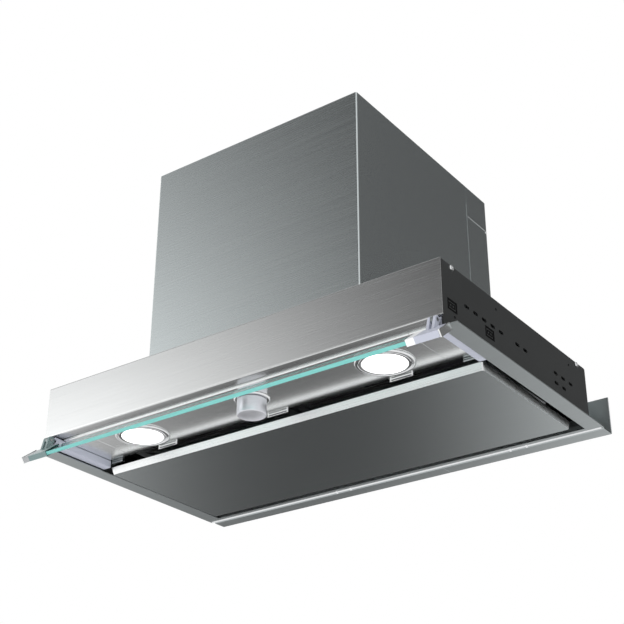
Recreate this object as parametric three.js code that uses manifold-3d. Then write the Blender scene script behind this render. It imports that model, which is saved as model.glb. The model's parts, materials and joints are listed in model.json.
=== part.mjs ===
import * as THREE from "three";
import { mergeVertices } from "three/addons/utils/BufferGeometryUtils.js";
import Module from "manifold-3d";

// A built-in pull-out range hood: a folded steel body that hangs in a wall cabinet, a motor box
// on top of it, a hinged suction panel with grease filters behind it, and a glass visor that
// pulls out under the fascia and tilts.
// Millimetres. While the pieces are drawn, x is measured from the middle, y back from the front
// face of the fascia and z up from the underside of the bottom frame. The group at the end moves
// the origin to the middle of the back face of the rear spacer, which stands against the wall.

const wasm = await Module();
wasm.setup();

// ---- Driving dimensions ----

// sheet metal and fits
const sheet = 1; // covers, panels and ducts
const plate = 1.5; // side plates, bottom frame and spacers
const seat = 0.3; // gap between pieces that lie against each other
const bendRadius = 1; // inside radius of a fold
const running = 0.25; // radial clearance of a pin in its eye
const past = 1; // how far a cut, or a piece that joins another, runs past the face

// body
const bodyWidth = 564; // over the side plates, for a 600 mm cabinet with 18 mm walls
const bodyDepth = 332;
const bodyHeight = 80;
const foldDepth = 16; // inward folds along the top of the side plates
const frameFlange = 16; // how far the bottom frame laps under each cabinet wall
const frameLedge = 4; // how far its inner edge stands inside the side plates
const frameRearReach = 4; // behind the side plates
const frameRearWidth = 10;
const frameLip = 6; // upturned inner edge of the rear member
const frameCorner = 2; // rounding of its outer corners
const frameStep = 0.3; // its flanges stand this much above the ledge that carries the body

// fascia
const slotHeight = 14; // open slot under the fascia
const fasciaFold = 15; // depth of the folded box behind it
const fasciaLip = 6;

// rear spacer, in two pieces
const spacerReach = 25; // behind the bottom frame
const spacerHeight = 48;
const spacerSeam = 77; // right of the middle
const spacerInset = 2; // from each end of the bottom frame
const joggleRadius = 0.4; // folds of its tongue

// side plate perforation
const clipSpacing = 77; // between the two cabinet clips of a side
const clipSetback = 20;
const clipRise = 31;
const clipLength = 17.5;
const clipHeight = 11.5;
const clipSlit = 0.6; // around the clip in its window
const clipBaseRim = 3; // around the window, inside the plate
const clipBase = 1.6;
const clipScrewRadius = 1.6;
const slotLength = 10;
const slotWidth = 4;
const slotPitch = 18.2;
const slotSetback = 50;
const slotRow = [0, 1, 2, 3, 4, 6, 7]; // places of the front row that are punched
const slotRise = 42.5;
const rearSlotSetback = 250.5;
const rearSlotPitch = 19;
const rearSlotDrop = 12.5; // from the upper to the lower row of the rear cluster
const screwRise = 77; // screws that fix the top cover
const screwSetback = 22;
const screwHeadRadius = 3;
const screwHeadHeight = 1.4;
const tieHoleRadius = 1.7;
const tieHoleDrop = 10; // below the tops of the screws
const tieHoleOffset = 4; // behind the middle of the front clip

// light panel
const lightRise = 12; // underside of the light panel
const lightDepth = 83; // from its front fold to its rear wall
const lightWallTop = 34;
const lightFrontFold = 10;
const lightHalf = 231; // half width of the middle piece
const tongueSpacing = 170; // between the middles of the loops that hang from its rear wall
const tongueLength = 30;
const tongueDrop = 7; // below the panel
const tongueRim = 2; // metal around its slot

// lamps
const lampSpacing = 175; // from the middle
const lampSetback = 58;
const lampRingRadius = 33.2;
const lampRingHeight = 1.8;
const lampBarrelRadius = 29.8;
const lampBarrelTop = 21;
const lampWall = 2;
const lampLipHeight = 0.6; // inward lip that holds the lens
const lampLipRadius = 25.2;
const lensHeight = 2.2;
const lampCanTop = 42;
const finPitch = 7;
const finDepth = 3.5;

// control knob
const knobSetback = 50;
const knobRadius = 17;
const knobHeight = 18.8;
const knobChamfer = 1.2;
const knobRingRadius = 21;
const knobRingHeight = 1.6;
const spindleRadius = 3;
const spindleDepth = 9; // into the knob
const switchSize = 26;
const switchHeight = 20;

// visor
const visorHinge = { y: -2.5, z: 8 }; // tilt axis
const visorTilt = 38; // degrees below the horizontal at rest
const visorEdge = { y: -22.5, z: -19.3 }; // middle of the front edge at rest
const glassWidth = 24;
const glassThickness = 6;
const bracketFrom = 252; // the visible glass ends here
const bracketTo = 290;
const bracketGrip = 10; // length of glass held in a bracket
const bracketWall = 1.2;
const endCap = 1.6;
const cheek = 3; // hinge cheeks on each side of the arm
const hingeEye = 4.5;
const hingePin = 2;
const armLength = 90;
const armHeight = 6.4;
const armWidth = 8;
const armEyeWidth = 3;
const guideFront = 3;
const guideWall = 1.5;
const guideTop = 32;
const guideLip = 1.4;

// suction panel, filters and tray
const panelGap = 10.5; // air gap at each side of the panel
const panelFrontGap = 6;
const panelRearGap = 20;
const panelDrop = 4.5; // below the bottom frame
const panelHeight = 12;
const panelCorner = 3;
const panelHinge = { setback: 8, rise: 12 }; // ahead of the panel's rear edge, above the frame
const hingeSpacing = 205; // from the middle
const earWidth = 3;
const earRadius = 5;
const hingeArmBack = 3; // behind the hinge axis
const hingeArmFront = 7; // ahead of it
const hingeFoot = 12;
const trayRise = 36;
const trayFlangeBottom = 16;
const trayRimSide = 34; // tray metal outside the filter openings
const trayRimFront = 16;
const trayRimRear = 47;
const trayRimMiddle = 8; // half the web between the filter openings
const filterLap = 5; // filter frame under the tray around each opening
const filterHeight = 9;
const filterFrame = 11;
const filterSlots = 9;
const filterSlotWidth = 8;
const latchLength = 40;
const latchWidth = 8;
const latchHeight = 3;
const latchTravel = 4;

// motor box
const boxWidth = 312;
const boxFront = 40;
const boxOverhang = 17; // behind the side plates
const boxTop = 367;
const boxSeamReach = 53; // from the rear face to the joint between the front and rear wraps
const boxSkirt = 26; // the lid's skirt over the rear wrap
const throatHalf = 120; // opening in the top cover
const throatFront = 70;
const throatRim = 32; // from its rear edge to the rear of the body

// blower
const blowerRise = 215;
const impellerRadius = 88;
const impellerHalf = 42; // half its length
const bladeCount = 28;
const bladeDepth = 18;
const bladeSweep = 11; // degrees that a blade leans forward over its depth
const bladeSheet = 1.2;
const impellerRing = 3;
const hubRadius = 9;
const shaftRadius = 4;
const scrollGap = 9; // impeller to the tongue of the scroll
const scrollFrontGap = 15.2; // scroll to the front of the motor box
const scrollStart = 60; // degrees from the rear, up to the tongue
const scrollGrowth = 42; // growth of the spiral over its sweep
const scrollWall = 2;
const scrollHalf = 50; // half its length outside
const inletRadius = 68;
const inletLip = 4;
const motorRadius = 40;
const motorLength = 62;
const motorNose = 22; // radius of its flat ends
const motorShoulder = 8;
const motorStep = 6; // distance of the motor's face from the impeller's disc
const bracketRing = 6;
const bracketSheet = 2;

// duct outlet
const outletRadius = 60;
const outletHeight = 32;
const outletWall = 1.5;
const outletFlange = 14;
const outletBead = 1.2;
const flapRise = 9; // hinge rod above the lid
const flapRod = 2;
const flapSheet = 1.4;
const flapGap = 1.2; // to the wall of the collar
const knuckleWall = 1.3;
const knuckleLength = 18;

// electrics on the top cover
const boxMargin = 14; // from the side plate and from the motor box
const controlSetback = 130;
const controlDepth = 110;
const controlHeight = 32;
const controlLid = 3;
const glandRadius = 8;
const glandLength = 16;
const glandBore = 3.5;
const glandNeck = 5.6;
const glandNoseFoot = 6.8;
const glandNoseTip = 5;
const capacitorRadius = 15;
const capacitorLength = 60;
const strapWidth = 12;

// facets
const roundSteps = 28; // lamps, knob, ducts and blower
const pinSteps = 12; // pins, eyes and small bores
const bendSteps = 2; // folds
const arcSteps = 1; // quarter rounds of slots and corners, doubled by the curve

// ---- Places that follow from them ----

const half = bodyWidth / 2;
const inside = half - plate - seat; // half width of what fits between the side plates
const frameTop = plate;
const frameInner = half - frameLedge;
const frameOuter = half + frameFlange;
const frameRear = bodyDepth + frameRearReach;
const frameInnerRear = frameRear - frameRearWidth;
const ledgeTop = frameTop - frameStep;
const plateBottom = ledgeTop + seat;
const coverTop = bodyHeight - plate - seat;
const lightFront = fasciaFold + sheet;
const lightRear = lightFront + lightDepth;
const guideOuter = half - plate - seat - clipBase - seat; // outer face of the guide's web
const armInner = guideOuter - guideWall - seat - armWidth;
const guideInner = armInner - guideLip;
const armBottom = visorHinge.z - armHeight / 2;
const panelHalf = frameInner - panelGap;
const panelFront = lightRear + panelFrontGap;
const panelRear = frameInnerRear - panelRearGap;
const panelTop = panelHeight - panelDrop;
const panelAxis = { y: panelRear - panelHinge.setback, z: panelHinge.rise };
const trayFront = lightRear + sheet + seat;
const trayRear = bodyDepth - plate - seat;
const trayHalf = guideOuter; // between the bases of the clips
const filterTop = trayRise - seat;
const openingFront = trayFront + trayRimFront;
const openingSide = trayHalf - trayRimSide;
const boxHalf = boxWidth / 2;
const throatRear = bodyDepth - throatRim;
const boxRear = bodyDepth + boxOverhang;
const boxSeam = boxRear - boxSeamReach; // joint between the front and rear wraps
const lidTop = boxTop;
const scrollRadius = impellerRadius + scrollGap;
const scrollFrontShare = (180 - scrollStart) / (360 - scrollStart); // of the sweep, at the front
const scrollFront = scrollRadius + scrollGrowth * scrollFrontShare + scrollWall;
const blowerSetback = boxFront + sheet + scrollFrontGap + scrollFront; // shaft
const scrollTongue = scrollRadius * Math.cos(THREE.MathUtils.degToRad(scrollStart));
const outletSetback = blowerSetback + (scrollTongue + scrollRadius + scrollGrowth) / 2;
const flapAxis = lidTop + flapRise;

const X = new THREE.Vector3(1, 0, 0);
const Y = new THREE.Vector3(0, 1, 0);
const Z = new THREE.Vector3(0, 0, 1);

// ---- Solids from three.js geometry ----

// A closed geometry as a solid for joining and cutting.
function solid(geometry) {
  geometry.deleteAttribute("normal");
  geometry.deleteAttribute("uv");
  const merged = mergeVertices(geometry, 1e-4);
  const corners = merged.index.array;
  const kept = [];
  for (let i = 0; i < corners.length; i += 3) {
    const [a, b, c] = corners.slice(i, i + 3);
    if (a !== b && b !== c && c !== a) kept.push(a, b, c);
  }
  return new wasm.Manifold(
    new wasm.Mesh({
      numProp: 3,
      vertProperties: merged.attributes.position.array,
      triVerts: new Uint32Array(kept),
    }),
  );
}

// A solid as a flat-shaded geometry.
function geometryOf(body) {
  const mesh = body.getMesh();
  const geometry = new THREE.BufferGeometry();
  geometry.setAttribute("position", new THREE.BufferAttribute(mesh.vertProperties, 3));
  geometry.setIndex(new THREE.BufferAttribute(mesh.triVerts, 1));
  const flat = geometry.toNonIndexed();
  flat.computeVertexNormals();
  return flat;
}

const join = (first, ...others) => others.reduce((a, b) => a.add(b), first);
const cut = (first, ...others) => others.reduce((a, b) => a.subtract(b), first);

function extruded(shape, depth) {
  return new THREE.ExtrudeGeometry(shape, {
    depth,
    bevelEnabled: false,
    curveSegments: arcSteps,
  });
}

// A shape drawn in (y, z), extruded along x.
function alongX(shape, x0, x1) {
  const geometry = extruded(shape, x1 - x0);
  geometry.applyMatrix4(new THREE.Matrix4().makeBasis(Y, Z, X));
  return solid(geometry.translate(x0, 0, 0));
}

// A shape drawn in (x, z), extruded along y.
function alongY(shape, y0, y1) {
  const geometry = extruded(shape, y1 - y0);
  geometry.applyMatrix4(new THREE.Matrix4().makeBasis(X, Z, Y.clone().negate()));
  return solid(geometry.translate(0, y1, 0));
}

// A shape drawn in (x, y), extruded along z.
function alongZ(shape, z0, z1) {
  return solid(extruded(shape, z1 - z0).translate(0, 0, z0));
}

function block(x0, x1, y0, y1, z0, z1) {
  const geometry = new THREE.BoxGeometry(x1 - x0, y1 - y0, z1 - z0);
  return solid(geometry.translate((x0 + x1) / 2, (y0 + y1) / 2, (z0 + z1) / 2));
}

// Cylinders along each axis, between two positions on it.
function rodX(y, z, radius, x0, x1, steps = roundSteps) {
  const geometry = new THREE.CylinderGeometry(radius, radius, x1 - x0, steps);
  return solid(geometry.rotateZ(Math.PI / 2).translate((x0 + x1) / 2, y, z));
}

function rodY(x, z, radius, y0, y1, steps = roundSteps) {
  const geometry = new THREE.CylinderGeometry(radius, radius, y1 - y0, steps);
  return solid(geometry.translate(x, (y0 + y1) / 2, z));
}

function rodZ(x, y, radius, z0, z1, steps = roundSteps) {
  const geometry = new THREE.CylinderGeometry(radius, radius, z1 - z0, steps);
  return solid(geometry.rotateX(Math.PI / 2).translate(x, y, (z0 + z1) / 2));
}

// A profile of [radius, height] points turned about a vertical axis at (x, y).
// The profile runs with the solid on its left.
function turned(profile, x, y, steps = roundSteps) {
  const points = profile.map(([radius, height]) => new THREE.Vector2(radius, height));
  const geometry = new THREE.LatheGeometry(points, steps);
  return solid(geometry.rotateX(Math.PI / 2).translate(x, y, 0));
}

// A closed ring section: the profile's first point is repeated at its end.
const ring = (profile) => [...profile, profile[0]];

function polygon(points) {
  return new THREE.Shape(points.map(([u, v]) => new THREE.Vector2(u, v)));
}

function roundedRectangle(u0, u1, v0, v1, radius) {
  const shape = new THREE.Shape();
  shape.absarc(u1 - radius, v1 - radius, radius, 0, Math.PI / 2);
  shape.absarc(u0 + radius, v1 - radius, radius, Math.PI / 2, Math.PI);
  shape.absarc(u0 + radius, v0 + radius, radius, Math.PI, 1.5 * Math.PI);
  shape.absarc(u1 - radius, v0 + radius, radius, 1.5 * Math.PI, 2 * Math.PI);
  return shape;
}

// A round-ended slot, length along u.
function slotShape(u, v, length, width) {
  return roundedRectangle(u - length / 2, u + length / 2, v - width / 2, v + width / 2, width / 2);
}

// The section of a folded sheet. The path is one face of the sheet, the metal lies on its left,
// and each inner point is a fold, with the inside radius given as its third number or bendRadius.
function folded(path, thickness) {
  const points = path.map(([u, v]) => new THREE.Vector2(u, v));
  const face = [];
  const back = [];
  const leftOf = (d) => new THREE.Vector2(-d.y, d.x);
  points.forEach((point, i) => {
    const before = points[i - 1];
    const after = points[i + 1];
    if (!before || !after) {
      const along = before ? point.clone().sub(before) : after.clone().sub(point);
      face.push(point);
      back.push(point.clone().addScaledVector(leftOf(along.normalize()), thickness));
      return;
    }
    const a = point.clone().sub(before).normalize();
    const b = after.clone().sub(point).normalize();
    const turn = Math.atan2(a.cross(b), a.dot(b));
    const side = Math.sign(turn);
    const inner = path[i][2] ?? bendRadius;
    const faceRadius = side > 0 ? inner + thickness : inner;
    const backRadius = side > 0 ? inner : inner + thickness;
    const start = point.clone().addScaledVector(a, -faceRadius * Math.tan(Math.abs(turn) / 2));
    const centre = start.clone().addScaledVector(leftOf(a), side * faceRadius);
    const steps = inner > 4 * bendRadius ? 3 * bendSteps : bendSteps;
    for (let k = 0; k <= steps; k++) {
      const out = leftOf(a).multiplyScalar(-side);
      out.rotateAround(new THREE.Vector2(), (turn * k) / steps);
      face.push(centre.clone().addScaledVector(out, faceRadius));
      back.push(centre.clone().addScaledVector(out, backRadius));
    }
  });
  return new THREE.Shape([...face, ...back.reverse()]);
}

// ---- Body ----

// U-shaped flat frame with a lip along its rear opening edge. The side flanges, where the cabinet
// walls rest, stand a little above the ledge.
function bottomFrame() {
  const c = frameCorner;
  const outline = polygon([
    [-frameOuter, 0],
    [-frameInner, 0],
    [-frameInner, frameInnerRear],
    [frameInner, frameInnerRear],
    [frameInner, 0],
    [frameOuter, 0],
    [frameOuter, frameRear - c],
    [frameOuter - c, frameRear],
    [-frameOuter + c, frameRear],
    [-frameOuter, frameRear - c],
  ]);
  const lipFront = frameInnerRear - sheet / 2;
  const lip = block(-frameInner, frameInner, lipFront, lipFront + sheet, 0, frameLip);
  const flanges = [-1, 1].map((side) => {
    const ends = [side * (half + seat), side * frameOuter].sort((a, b) => a - b);
    return block(...ends, 0, bodyDepth, 0, frameTop);
  });
  return join(alongZ(outline, 0, ledgeTop), lip, ...flanges);
}

const clipPlaces = [clipSetback, clipSetback + clipSpacing];

// Places [y, z] of the slots: a row along the side and a cluster at the rear.
function sideSlots() {
  const row = slotRow.map((k) => [slotSetback + k * slotPitch, slotRise]);
  const upper = [0, 1, 2].map((k) => [rearSlotSetback + k * rearSlotPitch, slotRise]);
  const lower = [0, 1].map((k) => [rearSlotSetback + k * rearSlotPitch, slotRise - rearSlotDrop]);
  return [...row, ...upper, ...lower];
}

// Right side plate: an upright web folded inwards along the top, perforated, with the two
// domed heads of the screws that hold the top cover.
function sidePlate() {
  const front = sheet + seat;
  const path = [
    [half, plateBottom],
    [half, bodyHeight],
    [half - foldDepth, bodyHeight],
  ];
  const through = [half - plate - past, half + past];
  const web = alongY(folded(path, plate), front, bodyDepth);
  // The fold stops short of the fascia's own top fold.
  const foldNotch = [front - past, fasciaFold + seat, coverTop, bodyHeight + past];
  let body = cut(web, block(half - foldDepth - past, half - plate, ...foldNotch));
  for (const [y, z] of sideSlots()) {
    body = cut(body, alongX(slotShape(y, z, slotLength, slotWidth), ...through));
  }
  for (const y of clipPlaces) {
    const window = polygon([
      [y - clipLength / 2, clipRise - clipHeight / 2],
      [y + clipLength / 2, clipRise - clipHeight / 2],
      [y + clipLength / 2, clipRise + clipHeight / 2],
      [y - clipLength / 2, clipRise + clipHeight / 2],
    ]);
    body = cut(body, alongX(window, ...through));
  }
  const tieHoles = [
    [clipPlaces[1] + clipLength, screwRise - tieHoleDrop],
    [bodyDepth - 2 * screwSetback, screwRise - tieHoleDrop],
    [clipPlaces[0] + tieHoleOffset, clipRise - clipHeight],
  ];
  for (const [y, z] of tieHoles) {
    body = cut(body, rodX(y, z, tieHoleRadius, ...through, pinSteps));
  }
  for (const y of [screwSetback, bodyDepth - screwSetback]) {
    body = join(body, screwHead(y, screwRise - screwHeadRadius));
  }
  return body;
}

// A domed screw head on the outer face of the right side plate.
function screwHead(y, z) {
  const dome = new THREE.SphereGeometry(screwHeadRadius, pinSteps, pinSteps / 2);
  dome.scale(screwHeadHeight / screwHeadRadius, 1, 1);
  return solid(dome.translate(half, y, z));
}

// Cabinet clip: a base behind the plate and a block that fills the window but for a slit.
function cabinetClip(y) {
  const baseFace = half - plate - seat;
  const rim = clipBaseRim;
  const base = block(
    baseFace - clipBase,
    baseFace,
    y - clipLength / 2 - rim,
    y + clipLength / 2 + rim,
    clipRise - clipHeight / 2 - rim,
    clipRise + clipHeight / 2 + rim,
  );
  const tooth = block(
    baseFace - clipBase,
    half - seat,
    y - clipLength / 2 + clipSlit,
    y + clipLength / 2 - clipSlit,
    clipRise - clipHeight / 2 + clipSlit,
    clipRise + clipHeight / 2 - clipSlit,
  );
  const screw = rodX(y, clipRise, clipScrewRadius, baseFace, half + past, pinSteps);
  return cut(join(base, tooth), screw);
}

// Fascia: one sheet folded into a shallow box, its ends notched to pass the side plates.
function fascia() {
  const path = [
    [fasciaFold, bodyHeight],
    [0, bodyHeight],
    [0, slotHeight],
    [fasciaFold, slotHeight],
    [fasciaFold, slotHeight + fasciaLip],
  ];
  const body = alongX(folded(path, sheet), -half, half);
  const notch = [sheet + seat / 2, fasciaFold + past, 0, bodyHeight + past];
  return cut(body, block(inside, half + past, ...notch), block(-half - past, -inside, ...notch));
}

function topCover() {
  const reach = inside - bendRadius;
  const body = block(-reach, reach, sheet + 2 * seat, trayRear, coverTop - sheet, coverTop);
  const through = [coverTop - sheet - past, coverTop + past];
  return cut(body, block(-throatHalf, throatHalf, throatFront, throatRear, ...through));
}

function backPlate() {
  const path = [
    [bodyDepth, plateBottom],
    [bodyDepth, coverTop - sheet - seat],
  ];
  const body = alongX(folded(path, plate), -inside, inside);
  const glandHole = rodY(-half / 2, bodyHeight / 2, glandRadius, bodyDepth - 2 * plate, bodyDepth + past);
  return cut(body, glandHole);
}

// One length of the L-shaped rear spacer, with a joggled tongue on the bottom frame's rear edge.
function spacer(x0, x1) {
  const step = frameRear + 2 * seat;
  const path = [
    [bodyDepth + seat, ledgeTop + seat],
    [step + plate / 2, ledgeTop + seat, joggleRadius],
    [step + 2 * plate, 0, joggleRadius],
    [frameRear + spacerReach, 0],
    [frameRear + spacerReach, spacerHeight],
  ];
  return alongX(folded(path, plate), x0, x1);
}

// ---- Light panel and what it carries ----

function lightPanelSection() {
  return folded(
    [
      [lightFront, lightRise + lightFrontFold],
      [lightFront, lightRise],
      [lightRear, lightRise],
      [lightRear, lightWallTop],
    ],
    sheet,
  );
}

// Middle piece, with holes for the lamps and the spindle and three loops for the suction panel.
function lightPanel() {
  let body = alongX(lightPanelSection(), -lightHalf, lightHalf);
  for (const x of [-lampSpacing, lampSpacing]) {
    body = cut(body, rodZ(x, lampSetback, lampBarrelRadius + seat, 0, lightWallTop));
  }
  body = cut(body, rodZ(0, knobSetback, spindleRadius + 2 * running, 0, lightWallTop));
  const wall = [lightRear - sheet, lightRear];
  const bottom = lightRise - tongueDrop;
  for (const x of [-tongueSpacing, 0, tongueSpacing]) {
    const reach = tongueLength / 2;
    const tongue = block(x - reach, x + reach, ...wall, bottom, lightRise + 2 * sheet + bendRadius);
    const slotEnds = [x - reach + tongueRim, x + reach - tongueRim];
    const slotCut = [wall[0] - past, wall[1] + past, bottom + tongueRim, lightRise - tongueRim];
    body = cut(join(body, tongue), block(...slotEnds, ...slotCut));
  }
  return body;
}

function lightPanelEnd() {
  return alongX(lightPanelSection(), lightHalf + seat, guideInner - seat);
}

function lampBezel(x) {
  const top = lightRise - seat;
  const bottom = top - lampRingHeight;
  const inner = lampBarrelRadius - lampWall;
  const lipTop = bottom + lampLipHeight;
  const profile = ring([
    [lampLipRadius, bottom],
    [lampRingRadius - lampRingHeight / 2, bottom],
    [lampRingRadius, top - lampRingHeight / 2],
    [lampRingRadius, top],
    [lampBarrelRadius, top],
    [lampBarrelRadius, lampBarrelTop],
    [inner, lampBarrelTop],
    [inner, lipTop],
    [lampLipRadius, lipTop],
  ]);
  return turned(profile, x, lampSetback);
}

const lensBottom = lightRise - seat - lampRingHeight + lampLipHeight + seat / 2;

function lampLens(x) {
  const radius = lampBarrelRadius - lampWall - seat;
  return rodZ(x, lampSetback, radius, lensBottom, lensBottom + lensHeight);
}

// Lamp body: a turned heat sink with fins above the barrel.
function lampCan(x) {
  const radius = lampBarrelRadius - lampWall - seat;
  const profile = [
    [0, lensBottom + lensHeight + seat / 2],
    [radius, lensBottom + lensHeight + seat / 2],
  ];
  const fins = Math.floor((lampCanTop - lampBarrelTop) / finPitch);
  for (let k = 0; k < fins; k++) {
    const z = lampBarrelTop + k * finPitch;
    profile.push([radius, z + finPitch / 4]);
    profile.push([radius - finDepth, z + finPitch / 4]);
    profile.push([radius - finDepth, z + (finPitch * 3) / 4]);
    profile.push([radius, z + (finPitch * 3) / 4]);
  }
  profile.push([radius, lampCanTop], [0, lampCanTop]);
  return turned(profile, x, lampSetback, pinSteps);
}

const knobTop = lightRise - seat - knobRingHeight - seat;
const knobBottom = knobTop - knobHeight;

function knobRing() {
  const top = lightRise - seat;
  const profile = ring([
    [spindleRadius + 2 * running, top - knobRingHeight],
    [knobRingRadius - knobRingHeight, top - knobRingHeight],
    [knobRingRadius, top],
    [spindleRadius + 2 * running, top],
  ]);
  return turned(profile, 0, knobSetback);
}

function controlKnob() {
  const bore = spindleRadius + running / 2;
  const profile = [
    [0, knobBottom],
    [knobRadius - knobChamfer, knobBottom],
    [knobRadius, knobBottom + knobChamfer],
    [knobRadius, knobTop - knobChamfer / 2],
    [knobRadius - knobChamfer / 2, knobTop],
    [bore, knobTop],
    [bore, knobTop - spindleDepth],
    [0, knobTop - spindleDepth],
  ];
  return turned(profile, 0, knobSetback);
}

const switchBottom = lightRise + sheet + seat;

function knobSpindle() {
  const bottom = knobTop - spindleDepth + running;
  return rodZ(0, knobSetback, spindleRadius, bottom, switchBottom + switchHeight / 2, pinSteps);
}

function switchBody() {
  const outline = roundedRectangle(
    -switchSize / 2,
    switchSize / 2,
    knobSetback - switchSize / 2,
    knobSetback + switchSize / 2,
    panelCorner,
  );
  const body = alongZ(outline, switchBottom, switchBottom + switchHeight);
  const boreTop = switchBottom + switchHeight / 2 + 1;
  return cut(body, rodZ(0, knobSetback, spindleRadius + running, 0, boreTop, pinSteps));
}

// ---- Visor ----

// Section of a plate in the plane of the glass: from the front edge back, reach and half
// thickness in millimetres.
function visorSection(forward, back, halfThickness) {
  const angle = THREE.MathUtils.degToRad(visorTilt);
  const along = [Math.cos(angle), Math.sin(angle)];
  const across = [-Math.sin(angle), Math.cos(angle)];
  const corner = (s, t) => [
    visorEdge.y + s * along[0] + t * across[0],
    visorEdge.z + s * along[1] + t * across[1],
  ];
  return polygon([
    corner(-forward, -halfThickness),
    corner(back, -halfThickness),
    corner(back, halfThickness),
    corner(-forward, halfThickness),
  ]);
}

function visorGlass() {
  const end = bracketFrom + bracketGrip;
  return alongX(visorSection(0, glassWidth, glassThickness / 2), -end, end);
}

// Right-hand bracket: it carries on the bar beyond the glass, grips the glass end in a pocket,
// and has two cheeks up to the hinge.
function visorBracket() {
  const outerHalf = glassThickness / 2 + bracketWall;
  const bar = alongX(visorSection(bracketWall, glassWidth + bracketWall, outerHalf), bracketFrom, bracketTo);
  const pocketSection = visorSection(seat, glassWidth + seat, glassThickness / 2 + seat);
  const pocket = alongX(pocketSection, bracketFrom - past, bracketFrom + bracketGrip + seat);
  const { y, z } = visorHinge;
  const angle = THREE.MathUtils.degToRad(visorTilt);
  const root = {
    y: visorEdge.y + (glassWidth - hingeEye) * Math.cos(angle),
    z: visorEdge.z + (glassWidth - hingeEye) * Math.sin(angle),
  };
  const web = polygon([
    [y + hingeEye, z],
    [y - hingeEye, z],
    [root.y - hingeEye, root.z],
    [root.y + hingeEye, root.z],
  ]);
  const armMiddle = armInner + armWidth / 2;
  const gap = armEyeWidth / 2 + seat;
  const cheeks = [armMiddle - gap - cheek, armMiddle + gap].map((x0) =>
    join(alongX(web, x0, x0 + cheek), rodX(y, z, hingeEye, x0, x0 + cheek, pinSteps)),
  );
  const body = cut(join(bar, ...cheeks), pocket);
  return cut(body, rodX(y, z, hingePin + running, armInner - armWidth, armInner + 2 * armWidth, pinSteps));
}

function visorEndCap() {
  const outerHalf = glassThickness / 2 + bracketWall;
  const section = visorSection(bracketWall, glassWidth + bracketWall, outerHalf);
  return alongX(section, bracketTo + seat, bracketTo + seat + endCap);
}

// Right-hand sliding arm: a bar in the guide, thinned to an eye that carries the hinge pin.
function visorArm() {
  const { y, z } = visorHinge;
  const armMiddle = armInner + armWidth / 2;
  const eye = [armMiddle - armEyeWidth / 2, armMiddle + armEyeWidth / 2];
  const shoulder = y + hingeEye + 2 * seat;
  const height = [armBottom, armBottom + armHeight];
  const bar = block(armInner, armInner + armWidth, shoulder, shoulder + armLength, ...height);
  const neck = block(...eye, y, shoulder + past, ...height);
  const pinHalf = armEyeWidth / 2 + seat + cheek;
  const pin = rodX(y, z, hingePin, armMiddle - pinHalf, armMiddle + pinHalf, pinSteps);
  return join(bar, neck, rodX(y, z, hingeEye, ...eye, pinSteps), pin);
}

// Right-hand guide: a channel round the arm and an upright web that the clips hold.
function visorGuide() {
  const bottom = armBottom - seat - guideWall;
  const top = Math.min(armBottom + armHeight + seat + guideWall, slotHeight - seat);
  const channelRear = lightRear;
  const channel = block(guideInner, guideOuter, guideFront, channelRear, bottom, top);
  const lane = block(
    armInner - seat,
    armInner + armWidth + seat,
    guideFront - past,
    channelRear + past,
    armBottom - seat,
    armBottom + armHeight + seat,
  );
  const mouth = block(
    guideInner - past,
    armInner,
    guideFront - past,
    channelRear + past,
    armBottom + armHeight / 4,
    armBottom + (armHeight * 3) / 4,
  );
  const web = block(guideOuter - guideWall, guideOuter, lightFront + seat, channelRear, bottom, guideTop);
  return join(cut(channel, lane, mouth), web);
}

// ---- Suction panel, filters and tray ----

// A shallow pan with its face down, and two ears for the hinge pins at the rear.
function suctionPanel() {
  const pan = (inset) =>
    roundedRectangle(
      -panelHalf + inset,
      panelHalf - inset,
      panelFront + inset,
      panelRear - inset,
      panelCorner - inset,
    );
  let body = cut(
    alongZ(pan(0), -panelDrop, panelTop),
    alongZ(pan(sheet), -panelDrop + sheet, panelTop + past),
  );
  const { y, z } = panelAxis;
  for (const side of [-1, 1]) {
    const x0 = side * hingeSpacing - earWidth / 2;
    const web = block(x0, x0 + earWidth, y - earRadius, y + earRadius, -panelDrop + sheet / 2, z);
    const eye = rodX(y, z, earRadius, x0, x0 + earWidth, pinSteps);
    const pinEnd = x0 + (side > 0 ? earWidth / 2 : -earWidth - seat);
    const pin = rodX(y, z, hingePin, pinEnd, pinEnd + 1.5 * earWidth + seat, pinSteps);
    body = join(body, web, eye, pin);
  }
  return body;
}

// Right-hand hinge bracket: an arm from the tray down to the pin of the suction panel.
function hingeBracket() {
  const { y, z } = panelAxis;
  const x0 = hingeSpacing + earWidth / 2 + seat;
  const arm = block(x0, x0 + earWidth, y - hingeArmFront, y + hingeArmBack, z, trayRise - seat);
  const foot = block(
    x0,
    x0 + hingeFoot,
    y - hingeArmFront,
    y + hingeArmBack,
    trayRise - seat - sheet,
    trayRise - seat,
  );
  const eye = rodX(y, z, earRadius, x0, x0 + earWidth, pinSteps);
  return cut(join(arm, foot, eye), rodX(y, z, hingePin + running, x0 - past, x0 + earWidth + past, pinSteps));
}

const openingRear = trayRear - trayRimRear;

// Inner tray that carries the filters: a pan open downwards, with one opening for each filter.
function filterTray() {
  const outer = block(-trayHalf, trayHalf, trayFront, trayRear, trayFlangeBottom, trayRise + sheet);
  const hollow = block(
    -trayHalf + sheet,
    trayHalf - sheet,
    trayFront + sheet,
    trayRear - sheet,
    trayFlangeBottom - past,
    trayRise,
  );
  let body = cut(outer, hollow);
  for (const side of [-1, 1]) {
    const ends = [side * trayRimMiddle, side * openingSide].sort((a, b) => a - b);
    body = cut(body, block(...ends, openingFront, openingRear, trayRise - past, trayRise + sheet + past));
  }
  return body;
}

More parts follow.
